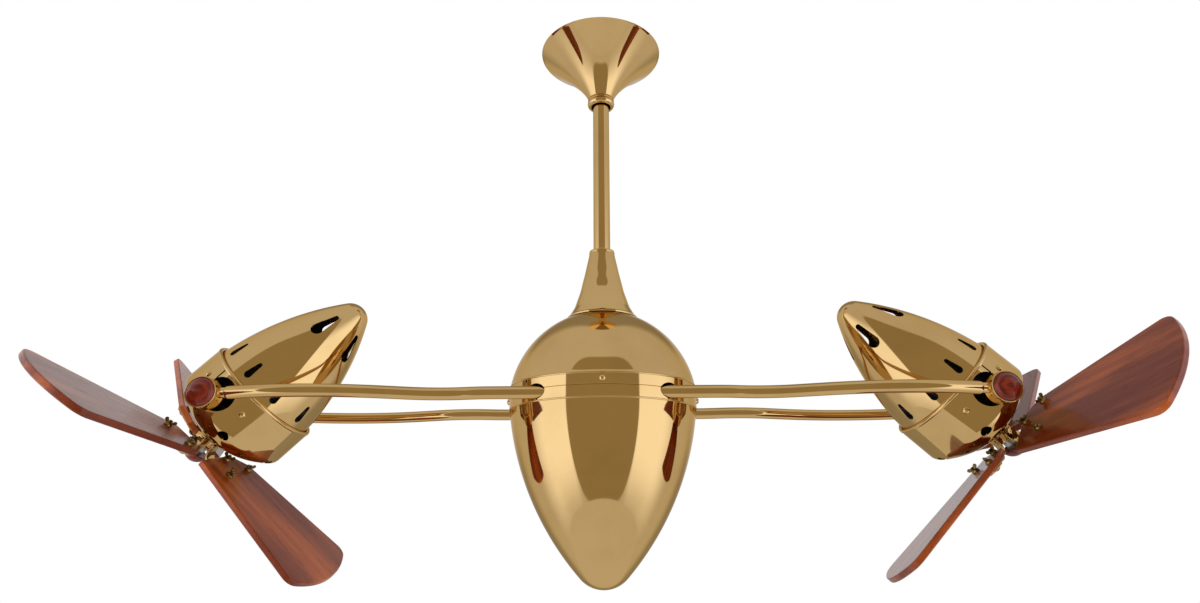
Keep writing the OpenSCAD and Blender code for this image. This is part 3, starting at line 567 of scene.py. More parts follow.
@dataclass
class Effect:
    """A shader node group that several finishes share, built once.

    Attributes:
        name: the group's name.
        inputs: name, socket type and default of each input.
        outputs: name and socket type of each output.
        build: fills the group, from its graph, its input node and its output node.
    """

    name: str
    inputs: list[tuple[str, str, Any]]
    outputs: list[tuple[str, str]]
    build: Callable[[Graph, Node, Node], None]

    def tree(self) -> bpy.types.NodeTree:
        """The group's tree, made on first use.

        Returns:
            The tree.
        """
        found = bpy.data.node_groups.get(self.name)
        if found is not None:
            return found
        made = bpy.data.node_groups.new(self.name, "ShaderNodeTree")
        for name, kind, default in self.inputs:
            socket = made.interface.new_socket(name=name, in_out="INPUT", socket_type=kind)
            socket.default_value = default
        for name, kind in self.outputs:
            made.interface.new_socket(name=name, in_out="OUTPUT", socket_type=kind)
        graph = Graph(made)
        self.build(graph, graph.node("NodeGroupInput"), graph.node("NodeGroupOutput"))
        return made

    def use(self, graph: Graph, **values: Feed) -> Node:
        """Places the group in a material.

        Args:
            graph: the material's graph.
            **values: what goes into each input, with underscores for spaces.

        Returns:
            The group node.
        """
        return graph.give(graph.node("ShaderNodeGroup", node_tree=self.tree()), **values)


EVEN = (1.0, 1.0, 1.0)      # a pattern's scale along each axis
FLOAT, COLOUR = "NodeSocketFloat", "NodeSocketColor"


def fill_polish(g: Graph, source: Node, out: Node) -> None:
    """Fills the polish group: soft smudges, fine hairlines and a slow waviness.

    Args:
        g: the group's graph.
        source: the group's input node.
        out: its output node.
    """
    smudge = g.noise(g.place(EVEN), source.outputs["Smudge Scale"], 5.0, 0.6)
    hair = g.noise(g.place((0.35, 1.0, 1.0)), source.outputs["Hairline Scale"], 2.0, 0.7)
    wave = g.noise(g.place((1.0, 1.0, 0.6)), source.outputs["Wave Scale"], 1.0, 0.4)
    g.feed(out.inputs["Smudge"], g.ramp(smudge, 0.42, 0.72))
    g.feed(out.inputs["Hairline"], g.ramp(hair, 0.45, 0.75))
    g.feed(out.inputs["Wave"], wave)


def fill_edge_wear(g: Graph, source: Node, out: Node) -> None:
    """Fills the edge wear group: bright where an edge stands proud, broken up by noise.

    Args:
        g: the group's graph.
        source: the group's input node.
        out: its output node.
    """
    pointed = g.node("ShaderNodeNewGeometry").outputs["Pointiness"]
    edge = g.ramp(pointed, source.outputs["Edge Start"], source.outputs["Edge End"])
    patch = g.noise(g.place(EVEN), source.outputs["Patch Scale"], 4.0, 0.6)
    g.feed(out.inputs["Worn"], g.maths("MULTIPLY", edge, g.ramp(patch, 0.3, 0.6), clamp=True))
    g.feed(out.inputs["Patch"], g.ramp(patch, 0.35, 0.7))


def fill_grain(g: Graph, source: Node, out: Node) -> None:
    """Fills the wood grain group: broad figure, growth lines and short open pores along X.

    Args:
        g: the group's graph.
        source: the group's input node.
        out: its output node.
    """
    given = source.outputs
    seed = g.product(g.node("ShaderNodeObjectInfo").outputs["Random"], 3.0)
    shift = g.node("ShaderNodeCombineXYZ", {0: seed, 1: seed, 2: seed}).outputs[0]

    def streaks(along: float, across: float, detail: float, rough: float) -> Socket:
        """Noise drawn out along X, finer across the board than along it."""
        return g.noise(g.place((along, across, across), shift), 1.0, detail, rough)

    figure = streaks(3.0, 16.0, 3.0, 0.5)
    ripple = streaks(9.0, 60.0, 4.0, 0.6)
    wave = g.node("ShaderNodeTexWave",
                  {"Vector": g.place((0.06, 1.0, 1.0), shift), "Scale": given["Line Scale"],
                   "Distortion": 5.0, "Detail": 3.0, "Detail Scale": 1.4,
                   "Detail Roughness": 0.6},
                  wave_type="BANDS", bands_direction="Y", wave_profile="SIN")
    pores = g.ramp(streaks(46.0, 900.0, 2.0, 0.5), 0.56, 0.68)
    lines = g.ramp(wave.outputs[1], 0.15, 0.95)
    tone = g.maths("ADD", g.product(figure, 0.75), g.product(ripple, 0.35))
    tone = g.maths("ADD", tone, g.product(lines, given["Line Weight"]))
    colour = g.blend(g.ramp(tone, 0.42, 0.82), given["Dark"], given["Light"])
    streak = g.ramp(streaks(5.0, 34.0, 2.0, 0.5), 0.52, 0.7)
    colour = g.blend(g.product(streak, 0.45), colour, given["Dark"])
    colour = g.blend(g.product(pores, given["Pore Weight"]), colour, given["Pore"])
    g.feed(out.inputs["Colour"], colour)
    g.feed(out.inputs["Pores"], pores)


POLISH = Effect(
    "polish_marks",
    [("Smudge Scale", FLOAT, 14.0), ("Hairline Scale", FLOAT, 900.0), ("Wave Scale", FLOAT, 9.0)],
    [("Smudge", FLOAT), ("Hairline", FLOAT), ("Wave", FLOAT)],
    fill_polish)
EDGE_WEAR = Effect(
    "edge_wear",
    [("Edge Start", FLOAT, 0.5), ("Edge End", FLOAT, 0.6), ("Patch Scale", FLOAT, 120.0)],
    [("Worn", FLOAT), ("Patch", FLOAT)],
    fill_edge_wear)
GRAIN = Effect(
    "wood_grain",
    [("Light", COLOUR, (0.3, 0.1, 0.04, 1.0)), ("Dark", COLOUR, (0.1, 0.03, 0.01, 1.0)),
     ("Pore", COLOUR, (0.03, 0.01, 0.005, 1.0)), ("Line Scale", FLOAT, 30.0),
     ("Line Weight", FLOAT, 0.3), ("Pore Weight", FLOAT, 0.6)],
    [("Colour", COLOUR), ("Pores", FLOAT)],
    fill_grain)


# ------------------------------------------------------------------ finishes


@dataclass(frozen=True)
class Finish:
    """A surface finish. Each kind of finish fills its own material.

    Attributes:
        name: the material's name.
        slot: the record's material slot that it answers to.
    """

    name: str
    slot: str

    def material(self) -> bpy.types.Material:
        """The finish's material, made on first use.

        Returns:
            The material.
        """
        found = bpy.data.materials.get(self.name)
        if found is not None:
            return found
        made = bpy.data.materials.new(self.name)
        made.use_nodes = True
        made.node_tree.nodes.clear()
        graph = Graph(made.node_tree)
        shader = graph.node("ShaderNodeBsdfPrincipled")
        output = graph.node("ShaderNodeOutputMaterial")
        graph.feed(output.inputs["Surface"], shader.outputs[0])
        self.fill(graph, shader)
        return made

    def fill(self, g: Graph, shader: Node) -> None:
        """Fills the material round its shader.

        Args:
            g: the material's graph.
            shader: its Principled BSDF.
        """
        raise NotImplementedError

    @staticmethod
    def bump(g: Graph, height: Feed, strength: float, distance: float = 0.0001) -> Socket:
        """A normal that a height raises through a Bump node."""
        made = g.node("ShaderNodeBump")
        return g.give(made, Height=height, Strength=strength, Distance=distance).outputs[0]

    def dress(self, piece: Piece) -> None:
        """Gives a piece this finish in every slot.

        Args:
            piece: the piece.
        """
        if not piece.material_slots:
            piece.data.materials.append(None)
        for slot in piece.material_slots:
            slot.material = self.material()


@dataclass(frozen=True)
class Metal(Finish):
    """A metal with smudges, hairlines and a slow waviness.

    Attributes:
        bright: colour of the clean metal.
        dull: colour where it is smudged.
        rough: least and most roughness.
        coat: weight of the clear lacquer.
        coat_rough: roughness of the lacquer.
        wave: depth of the waviness, in metres.
        smudge_scale: fineness of the smudges.
        edge: tint of what it mirrors at a grazing angle.
    """

    bright: Colour = (0.5, 0.5, 0.5)
    dull: Colour = (0.4, 0.4, 0.4)
    rough: Point2 = (0.1, 0.2)
    coat: float = 0.0
    coat_rough: float = 0.05
    wave: float = 0.0
    smudge_scale: float = 14.0
    edge: Colour = (1.0, 1.0, 1.0)

    def fill(self, g: Graph, shader: Node) -> None:
        """Fills the material round its shader.

        Args:
            g: the material's graph.
            shader: its Principled BSDF.
        """
        marks = POLISH.use(g, Smudge_Scale=self.smudge_scale)
        smudge, hair = marks.outputs["Smudge"], marks.outputs["Hairline"]
        spread = self.rough[1] - self.rough[0]
        rough = g.maths("ADD", g.product(smudge, spread * 0.6), g.product(hair, spread * 0.4))
        g.give(shader, Base_Color=g.blend(smudge, rgba(self.bright), rgba(self.dull)),
               Roughness=g.maths("ADD", rough, self.rough[0]), Metallic=1.0,
               Specular_Tint=rgba(self.edge), Coat_Weight=self.coat,
               Coat_Roughness=self.coat_rough)
        if self.wave:
            g.give(shader, Normal=self.bump(g, marks.outputs["Wave"], 1.0, self.wave))


@dataclass(frozen=True)
class AgedMetal(Finish):
    """A darkened metal whose proud edges are worn bright.

    Attributes:
        dark: colour of the darkened skin.
        worn: colour of the worn edges.
        patch_scale: fineness of the patches.
    """

    dark: Colour = (0.1, 0.07, 0.03)
    worn: Colour = (0.5, 0.35, 0.15)
    patch_scale: float = 160.0

    def fill(self, g: Graph, shader: Node) -> None:
        """Fills the material round its shader.

        Args:
            g: the material's graph.
            shader: its Principled BSDF.
        """
        wear = EDGE_WEAR.use(g, Edge_Start=0.5, Edge_End=0.58, Patch_Scale=self.patch_scale)
        patch = wear.outputs["Patch"]
        half = tuple((a + b) / 2 for a, b in zip(self.dark, self.worn))
        base = g.blend(g.product(patch, 0.5), rgba(self.dark), rgba(half))
        g.give(shader, Base_Color=g.blend(wear.outputs["Worn"], base, rgba(self.worn)),
               Roughness=g.ramp(patch, 0.0, 1.0, 0.42, 0.26), Metallic=1.0,
               Normal=self.bump(g, patch, 0.4))


@dataclass(frozen=True)
class Lacquered(Finish):
    """Wood under a gloss lacquer.

    Attributes:
        light: colour of the light grain.
        dark: colour of the dark grain.
        pore: colour of the open pores.
        line_scale: how close the growth lines lie.
        line_weight: how strongly they show.
        pore_weight: how strongly the pores show.
        tint: tint of what the wood mirrors.
        shine: how much of it the wood mirrors.
        coat: weight of the clear lacquer.
        coat_rough: roughness of the lacquer.
    """

    light: Colour = (0.58, 0.125, 0.017)
    dark: Colour = (0.15, 0.019, 0.004)
    pore: Colour = (0.045, 0.007, 0.003)
    tint: Colour = (1.0, 0.62, 0.48)
    shine: float = 0.15
    line_scale: float = 22.0
    line_weight: float = 0.03
    pore_weight: float = 0.4
    coat: float = 0.6
    coat_rough: float = 0.16

    def fill(self, g: Graph, shader: Node) -> None:
        """Fills the material round its shader.

        Args:
            g: the material's graph.
            shader: its Principled BSDF.
        """
        grain = GRAIN.use(g, Light=rgba(self.light), Dark=rgba(self.dark), Pore=rgba(self.pore),
                          Line_Scale=self.line_scale, Line_Weight=self.line_weight,
                          Pore_Weight=self.pore_weight)
        pores = grain.outputs["Pores"]
        g.give(shader, Base_Color=grain.outputs["Colour"],
               Roughness=g.ramp(pores, 0.0, 1.0, 0.3, 0.45), Specular_IOR_Level=self.shine,
               Specular_Tint=rgba(self.tint), Coat_Weight=self.coat,
               Coat_Roughness=self.coat_rough, Normal=self.bump(g, g.product(pores, -1.0), 0.25))


@dataclass(frozen=True)
class Matt(Finish):
    """A moulded or painted matt skin with faint mottling.

    Attributes:
        colour: the skin's colour.
        rough: its roughness.
    """

    colour: Colour = (0.03, 0.03, 0.03)
    rough: float = 0.6

    def fill(self, g: Graph, shader: Node) -> None:
        """Fills the material round its shader.

        Args:
            g: the material's graph.
            shader: its Principled BSDF.
        """
        marks = POLISH.use(g, Smudge_Scale=60.0)
        hair = marks.outputs["Hairline"]
        pale = tuple(min(1.0, c * 1.5 + 0.01) for c in self.colour)
        g.give(shader, Base_Color=g.blend(marks.outputs["Smudge"], rgba(self.colour), rgba(pale)),
               Roughness=g.ramp(hair, 0.0, 1.0, self.rough - 0.08, self.rough + 0.08),
               Normal=self.bump(g, hair, 0.3))


BRASS = Metal("spun_brass", "polished_brass", bright=(0.67, 0.44, 0.175), dull=(0.62, 0.395, 0.15),
              rough=(0.035, 0.09), coat=0.3, coat_rough=0.04, wave=0.0002, edge=(0.80, 0.62, 0.36))
NUT_BRASS = AgedMetal("aged_brass", "antique_brass", dark=(0.13, 0.085, 0.03),
                      worn=(0.45, 0.30, 0.11))
WOOD = Lacquered("mahogany_board", "mahogany")
CABOCHON_WOOD = Lacquered("dark_mahogany", "mahogany", light=(0.24, 0.022, 0.008),
                          dark=(0.06, 0.006, 0.003), line_scale=90.0, line_weight=0.2, coat=0.5,
                          coat_rough=0.05)
STEEL = Metal("machined_steel", "steel", bright=(0.42, 0.41, 0.40), dull=(0.33, 0.32, 0.31),
              rough=(0.22, 0.38), smudge_scale=40.0)
COPPER = Metal("enamelled_copper", "copper", bright=(0.50, 0.20, 0.08), dull=(0.36, 0.13, 0.05),
               rough=(0.25, 0.4), smudge_scale=90.0)
BRONZE = Metal("sintered_bronze", "bronze", bright=(0.42, 0.27, 0.11), dull=(0.34, 0.21, 0.08),
               rough=(0.3, 0.45), smudge_scale=90.0)
IRON = Matt("dark_iron", "cast_iron", colour=(0.016, 0.016, 0.017), rough=0.5)
PHENOLIC = Matt("moulded_phenolic", "phenolic", colour=(0.09, 0.04, 0.02), rough=0.5)
RUBBER = Matt("black_rubber", "rubber", colour=(0.012, 0.012, 0.012), rough=0.75)


# ------------------------------------------------------------------ sub-assemblies


ARM_Z = -442.0       # height of the arm plane
PIVOT_REACH = 387.2  # distance from the fan's axis to a head's pivot


def shift(x: float = 0.0, y: float = 0.0, z: float = 0.0) -> Matrix:
    """A move by so many millimetres, as a matrix in metres."""
    return Matrix.Translation((x * MM, y * MM, z * MM))


def turn(degrees: float, axis: str) -> Matrix:
    """A turn about an axis."""
    return Matrix.Rotation(math.radians(degrees), 4, axis)


def pivot(side: Side) -> Matrix:
    """Where a head's pivot lies."""
    return shift(side.value * PIVOT_REACH, 0, ARM_Z)


def in_mm(matrix: Matrix) -> Matrix:
    """The same placement with its shift in millimetres, for use within a bmesh."""
    made = matrix.copy()
    made.translation /= MM
    return made


def off_skin(direction: float, reach: float, height: float) -> Matrix:
    """Placement whose Z points out of a round skin, just clear of it.

    Args:
        direction: direction from the skin's axis, in degrees.
        reach: the skin's radius.
        height: height along the axis.

    Returns:
        The placement, in millimetres.
    """
    return in_mm(turn(direction, "Z") @ shift(x=reach + GAP, z=height) @ turn(90, "Y"))


def dome_line(radius: float, height: float, base: float, count: int = 12) -> list[Point2]:
    """Points of a shallow dome from its rim to its top.

    Args:
        radius: the rim's radius.
        height: how high the top stands over the rim.
        base: the rim's height.
        count: how many steps the line takes.

    Returns:
        Radius and height of each point.
    """
    ball = (radius * radius + height * height) / (2 * height)
    middle = (0.0, base + height - ball)
    return arc(middle, ball, bearing(middle, (radius, base)), 90, count)


def screw_line(deep: float, radius: float) -> list[Point2]:
    """Outline of a domed screw whose shank goes so deep and whose head has that radius."""
    shank, height, edge = 1.4, 1.6, 0.2
    return ([(0, -deep), (shank, -deep), (shank, 0), (radius, 0)]
            + dome_line(radius, height, edge))


@dataclass
class SubAssembly:
    """Pieces of the fan that ride on one body of the frame.

    Attributes:
        body: the body's name.
        pieces: the pieces made so far.
    """

    body: str = "root"
    pieces: list[Piece] = field(default_factory=list, init=False)

    def fit(self, piece: Piece, finish: Finish, *nodes: str, place: Matrix = HERE) -> None:
        """Finishes a piece, stands it in its place and lets it ride on the body.

        Args:
            piece: the piece.
            finish: its finish.
            *nodes: the frame's nodes that it stands for.
            place: where it stands.
        """
        piece.matrix_world = place
        finish.dress(piece)
        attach(piece, self.body)
        if nodes:
            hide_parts(*nodes)
        self.pieces.append(piece)
        LOG.info("%s rides on %s in %s", piece.name, self.body, finish.name)

    def dress_nodes(self, finishes: dict[Finish, Sequence[str]]) -> None:
        """Gives the frame's own nodes their finishes.

        Args:
            finishes: the names of the nodes that each finish goes to.
        """
        for finish, names in finishes.items():
            for name in names:
                finish.dress(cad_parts[name])
                LOG.info("%s stays in %s", name, finish.name)


@dataclass
class Hanging(SubAssembly):
    """The trumpet shaped canopy at the ceiling and the downrod.

    Attributes:
        canopy_r: radius at the ceiling.
        canopy_h: height of the trumpet.
        neck_r: radius at the trumpet's narrow end.
        power: how late the trumpet flares.
        wall: its sheet thickness.
        ring: bore of the neck ring, its top and its low end.
        bead_r: radius of the neck ring's bead.
        throat: points that lead from the bead to the trumpet.
        rod: outer radius, bore, low end and high end of the downrod.
        rod_edge: chamfer at its ends.
    """

    body: str = "ceiling_mount"
    canopy_r: float = 74.0
    canopy_h: float = 66.0
    neck_r: float = 15.0
    power: float = 1.45
    wall: float = 1.68
    ring: Point3 = (12.0, -64.8, -74.6)
    bead_r: float = 4.4
    throat: tuple[Point2, ...] = ((16.0, -66.2), (15.8, -65.3), (15.5, -64.9))
    rod: Point4 = (9.75, 7.55, -308.0, -14.0)
    rod_edge: float = 0.5

    def trumpet(self, inset: float) -> list[Point2]:
        """The trumpet's line from its narrow end up, lying inset within the skin.

        Args:
            inset: how far the line lies within the skin.

        Returns:
            Radius and height of each point.
        """
        heights = [self.canopy_h * i / 60 for i in range(1, 61)]
        flare = self.canopy_r - self.neck_r
        return [(self.neck_r + flare * (h / self.canopy_h) ** self.power - inset, h - self.canopy_h)
                for h in heights]

    def make_canopy(self) -> None:
        """Builds the canopy with its neck ring."""
        bore, *ends = self.ring
        bead = (bore, -self.canopy_h - 4.5)
        outer = self.trumpet(0.0)[1:]
        lip = [(self.canopy_r, -0.3), (self.canopy_r - 0.4, 0.0), (self.canopy_r - self.wall, 0.0)]
        inner = list(reversed(self.trumpet(self.wall)[3:-1]))
        line = [*((bore, z) for z in ends), *arc(bead, self.bead_r, -84, 24, 16), *self.throat,
                *outer[:-1], *lip, *inner]
        self.fit(spun("canopy_trumpet", line), BRASS, "canopy")

    def make_rod(self) -> None:
        """Builds the downrod."""
        out, bore, low, high = self.rod
        edge = self.rod_edge
        line = [(bore, low), (out - edge, low), (out, low + edge), (out, high - edge),
                (out - edge, high), (bore, high)]
        self.fit(spun("downrod_tube", line, HALF_ROUND), BRASS, "downrod")

    def build(self) -> None:
        """Builds and dresses what hangs at the ceiling."""
        self.make_canopy()
        self.make_rod()
        self.dress_nodes({STEEL: ("ceiling_bracket", "rod_pins", "spindle", "spindle_nut"),
                          IRON: ("hanger_ball",), RUBBER: ("canopy_collar",),
                          COPPER: ("slip_ring",)})


@dataclass
class Body(SubAssembly):
    """The egg shaped body: neck cone, upper dome, banded bowl and their screws.

    Attributes:
        band_r: radius of the band.
        band_low: height of the lower bead, from the arm plane.
        band_top: height of the upper bead.
        seam_z: height of the seam between the shells.
        sheet: sheet thickness.
        bead_r: radius of a bead.
        band_edge: chamfer at the seam.
        dome_arc: radius of the dome's side curve.
        dome_hole_r: radius of the hole in its top, which the neck covers.
        neck: foot radius, top radius, foot height and height of the neck cone.
        neck_wall: its wall.
        neck_bore: bore of its collar, and the collar's height.
        neck_shares: the cone's steps, as shares of its height and of its narrowing.
        bowl: the bowl's egg end.
        arm_hole: radius of an arm's hole, its distance from the middle plane and its height.
        screw_z: height of the front and rear band screws.
        side_screw_z: height of the larger side screws.
        peg_z: height of the pegs over the neck's foot.
    """

    body: str = "swivel_body"
    band_r: float = 100.3
    band_low: float = -8.4
    band_top: float = 15.2
    seam_z: float = 3.8
    sheet: float = 1.2
    bead_r: float = 0.9
    band_edge: float = 0.3
    dome_arc: float = 104.6
    dome_hole_r: float = 20.0
    neck: Point4 = (39.4, 14.7, 94.0, 82.0)
    neck_wall: float = 1.44
    neck_bore: Point2 = (10.45, 5.0)
    neck_shares: tuple[Point2, ...] = (
        (0.02, 0), (0.037, 0.073), (0.08, 0.162), (0.122, 0.247), (0.172, 0.336),
        (0.294, 0.477), (0.405, 0.597), (0.527, 0.691), (0.648, 0.79), (0.77, 0.876),
        (0.9, 0.97), (0.95, 1), (0.98, 1))
    bowl: EggEnd = EggEnd((99.8, -9.2), 293.0, -187.0, 33.0)
    arm_hole: Point3 = (8.0, 75.0, 1.0)
    screw_z: float = 9.5
    side_screw_z: float = 2.9
    peg_z: float = 0.85

    def place(self) -> Matrix:
        """Where the body's own origin lies."""
        return shift(z=ARM_Z)

    def make_neck(self) -> None:
        """Builds the neck cone with its top collar."""
        foot, top, low, height = self.neck
        skin = [(foot - (foot - top) * n, low + height * h) for h, n in self.neck_shares]
        outer = [(foot, low)] + smooth_line(skin, 6)
        bore, lip = self.neck_bore
        crown = [(top - 0.5, low + height), (bore, low + height), (bore, low + height - lip)]
        inner = [(r - self.neck_wall, z) for r, z in reversed(outer) if z < low + height - lip]
        self.fit(spun("neck_trumpet", outer + crown + inner), BRASS, "neck_cone",
                 place=self.place())

    def hole_tools(self) -> BMesh:
        """Cutting solids for the arms' holes.

        Returns:
            The solids, which the cut frees.
        """
        tools = bmesh.new()
        radius, offset, rise = self.arm_hole
        for sx in (-1, 1):
            for sy in (-1, 1):
                spin_into(tools, drum(radius, 20, 120), SMALL_ROUND,
                          in_mm(shift(y=sy * offset, z=rise) @ turn(90 * sx, "Y")))
        return tools

    def make_dome(self) -> None:
        """Builds the upper dome down to the seam."""
        shoulder = (self.band_r - 0.5, self.band_top + 0.8)
        crown = (self.neck[0] - self.neck_wall, self.neck[2] - GAP)
        c = meet(shoulder, self.dome_arc, crown, self.dome_arc)
        low = bearing(c, shoulder)
        high = math.degrees(math.acos((self.dome_hole_r - c[0]) / self.dome_arc))
        edge = self.band_edge
        bead = (self.band_r - edge, self.band_top)
        inside = self.band_r - self.sheet
        line = ([(inside, self.seam_z), (self.band_r - edge, self.seam_z),
                 (self.band_r, self.seam_z + edge)]
                + arc(bead, self.bead_r, -70, 84, 12) + arc(c, self.dome_arc, low + 0.3, high, 60)
                + arc(c, self.dome_arc - self.sheet, high, low, 60)
                + [(inside, self.band_top - 1)])
        self.fit(pierced("dome_shell", line, self.hole_tools()), BRASS, "upper_dome",
                 place=self.place())

    def make_bowl(self) -> None:
        """Builds the lower bowl with its band and the spigot inside the dome."""
        edge = self.band_edge
        bead = (self.band_r - edge, self.band_low)
        top = self.seam_z - 0.2
        spigot = self.band_r - self.sheet - 0.15
        spigot_top = self.seam_z + 9
        outer = ([(self.band_r, top - edge)] + arc(bead, self.bead_r, 70, -84, 12)
                 + self.bowl.line()[1:])
        inner = list(reversed(self.bowl.line(self.sheet)))
        rim = [(spigot - self.sheet, self.band_low + 2), (spigot - self.sheet, spigot_top),
               (spigot, spigot_top), (spigot, top), (self.band_r - edge, top)]
        self.fit(pierced("bowl_shell", outer + inner + rim, self.hole_tools()), BRASS,
                 "lower_bowl", place=self.place())

    @staticmethod
    def slotted_into(bm: BMesh, place: Matrix) -> None:
        """Adds a side screw, whose high domed head has a slot across it.

        Args:
            bm: the bmesh that takes it.
            place: where it stands, in millimetres.
        """
        radius, height, slot, deep = 3.9, 3.6, 0.6, 1.2
        spin_into(bm, drum(1.4, -5.5, 0), TINY_ROUND, place)
        ball = (radius * radius + height * height) / (2 * height)
        low = height - deep
        for sign in (-1, 1):
            grid = []
            for i in range(17):
                y = -radius + 2 * radius * i / 16
                reach = max(math.sqrt(max(radius * radius - y * y, 0.0)), slot)
                line = []
                for j in range(9):
                    x = slot + (reach - slot) * j / 8
                    under = ball * ball - x * x - y * y
                    z = math.sqrt(max(under, 0.0)) - ball + height
                    line.append(bm.verts.new(place @ Vector((sign * x, y, max(z, 0.0)))))
                foot = [bm.verts.new(place @ Vector((sign * x, y, 0.0))) for x in (reach, slot)]
                grid.append(line + foot)
            for here, there in zip(grid, grid[1:]):
                for j in range(len(here)):
                    k = (j + 1) % len(here)
                    bm.faces.new((here[j], here[k], there[k], there[j]))
        half = 3.7
        floor = [(-slot, -half), (slot, -half), (slot, half), (-slot, half)]
        prism_into(bm, floor, GAP, low, place)

    def make_screws(self) -> None:
        """Builds the band's domed screws and the tiny pegs of the neck's foot."""
        bm = bmesh.new()
        for direction in (90, 270):
            spin_into(bm, screw_line(5.5, 3), SMALL_ROUND,
                      off_skin(direction, self.band_r, self.screw_z))
        for direction in (0, 180):
            self.slotted_into(bm, off_skin(direction, self.band_r, self.side_screw_z))
        peg_r = 0.8
        peg = [(0, 0), (peg_r, 0), (peg_r, 0.4)] + dome_line(peg_r, 0.35, 0.45, 6)
        for direction in (30, 150, 270):
            spin_into(bm, peg, TINY_ROUND,
                      off_skin(direction, self.neck[0], self.neck[2] + self.peg_z))
        self.fit(from_bmesh("body_screw_heads", bm), BRASS, "body_screws", place=self.place())

    def build(self) -> None:
        """Builds and dresses the body."""
        self.make_neck()
        self.make_dome()
        self.make_bowl()
        self.make_screws()
        self.dress_nodes({IRON: ("arm_carrier", "arm_clamps"), BRONZE: ("swivel_bushes",),
                          STEEL: ("thrust_bearing",), PHENOLIC: ("brush_holder",)})


@dataclass(frozen=True)
class Straight:
    """A straight stretch of an arm, of so many millimetres."""

    length: float


@dataclass(frozen=True)
class Bend:
    """A bend of an arm: its radius, and its turn in degrees, outward where positive."""

    radius: float
    turn: float


@dataclass
class Arms(SubAssembly):
    """The four bent tube arms and the pivot cups at their ends.

    Attributes:
        start: where an arm starts, from the two middle planes.
        route: the arm's stretches, up to its plug.
        tube_r: radius of the tube.
        plug: radius and length of the plug.
        boss_r: radius of a pivot boss.
        cup_r: radius of a cup's rim.
        reach: inner end, step and rim of a cup, from the middle plane.
        rim_wall: wall of the rim.
        recess: how deep the cabochon's seat lies.
        cabochon_h: height of the cabochon over the rim.
    """

    body: str = "swivel_body"
    start: Point2 = (2.0, 75.0)
    route: tuple[Straight | Bend, ...] = (
        Straight(110.15), Bend(100, -11.1), Straight(4), Bend(110, 29.1), Straight(28),
        Bend(240, -31), Straight(18.4))
    tube_r: float = 6.35
    plug: Point2 = (5.25, 12.0)
    boss_r: float = 13.0
    cup_r: float = 15.3
    reach: Point3 = (52.0, 76.0, 92.0)
    rim_wall: float = 1.5
    recess: float = 2.8
    cabochon_h: float = 6.5

    def path(self) -> tuple[list[Vector], Vector]:
        """The points of an arm's middle line, and its direction at the end.

        Returns:
            The points, for the right rear arm, and a unit vector.
        """
        def ahead(angle: float) -> Vector:
            """The direction at an angle from X, in the arm plane."""
            return Vector((math.cos(angle), math.sin(angle), 0))

        here, heading = Vector((*self.start, 0.0)), 0.0
        points = [here.copy()]
        for stretch in self.route:
            if isinstance(stretch, Straight):
                steps, each, chord = 6, 0.0, stretch.length / 6
            else:
                steps = max(8, round(abs(stretch.turn) * 1.2))
                each = math.radians(stretch.turn) / steps
                chord = 2 * stretch.radius * math.sin(abs(each) / 2)
            for _ in range(steps):
                here = here + ahead(heading + each / 2) * chord
                heading += each
                points.append(here.copy())
        return points, ahead(heading)

    def make_arm(self, side: Side, depth: Depth) -> None:
        """Builds one arm with its plug.

        Args:
            side: the end of the fan that it reaches to.
            depth: front or rear.
        """
        (first, *middle, end), along = self.path()
        flip = Vector((side.value, depth.value, 1.0))
        edge = 0.4
        points = [first, first + Vector((edge, 0, 0)), *middle, end - along * 0.6,
                  end - along * 0.15, end]
        radii = [self.tube_r - edge, *[self.tube_r] * (len(middle) + 2), self.tube_r - 0.15,
                 self.tube_r - 0.55]
        bm = bmesh.new()
        tube_into(bm, [p * flip for p in points], radii, SMALL_ROUND, UP)
        plug = [end - along * 2, end + along * self.plug[1]]
        tube_into(bm, [p * flip for p in plug], [self.plug[0]] * 2, 48, UP)
        self.fit(from_bmesh(f"{side.word}_{depth.word}_arm_tube", bm), BRASS,
                 f"{side.word}_{depth.word}_arm", place=shift(z=ARM_Z))

    def make_pivots(self, side: Side) -> None:
        """Builds the two pivot cups of a head and their cabochons.

        Args:
            side: the end of the fan.
        """
        inner, step, rim = self.reach
        seat_r = self.cup_r - self.rim_wall
        cup = [(5.1, inner), (self.boss_r - 0.7, inner), (self.boss_r, inner + 0.7),
               (self.boss_r, step - 0.5), (self.boss_r + 0.25, step - 0.1),
               (self.boss_r + 0.6, step), (self.cup_r - 0.8, step)]
        cup += arc((self.cup_r - 0.8, step + 0.8), 0.8, -80, 0, 6)
        cup += arc((self.cup_r - 0.75, rim - 0.75), 0.75, 0, 180, 14)
        seat = rim - self.recess
        cup += [(seat_r, seat), (0, seat), (0, step - 1), (5.1, step - 1)]
        stone_r = seat_r - GAP
        stone = [(0, seat + GAP), (stone_r, seat + GAP), (stone_r, rim - 0.3)]
        stone += dome_line(stone_r, self.cabochon_h + 0.3, rim - 0.3, 24)[1:]
        cups, stones = bmesh.new(), bmesh.new()
        for depth in Depth:
            place = in_mm(turn(-90 * depth.value, "X"))
            spin_into(cups, cup, 128, place)
            spin_into(stones, stone, HALF_ROUND, place)
        for bm, name, finish, node in ((cups, "cup_turnings", BRASS, "pivot_cups"),
                                       (stones, "cabochon_stones", CABOCHON_WOOD, "cabochons")):
            self.fit(from_bmesh(f"{side.word}_{name}", bm), finish, f"{side.word}_{node}",
                     place=pivot(side))

    def build(self) -> None:
        """Builds and dresses the arms and pivots."""
        for side in Side:
            for depth in Depth:
                self.make_arm(side, depth)
            self.make_pivots(side)


HEAD_TILT = {Side.LEFT: 44.0, Side.RIGHT: 43.0}   # how far each head looks down, in degrees
HEAD_OFFSET = -1.9                                # a head's axis from its pivot


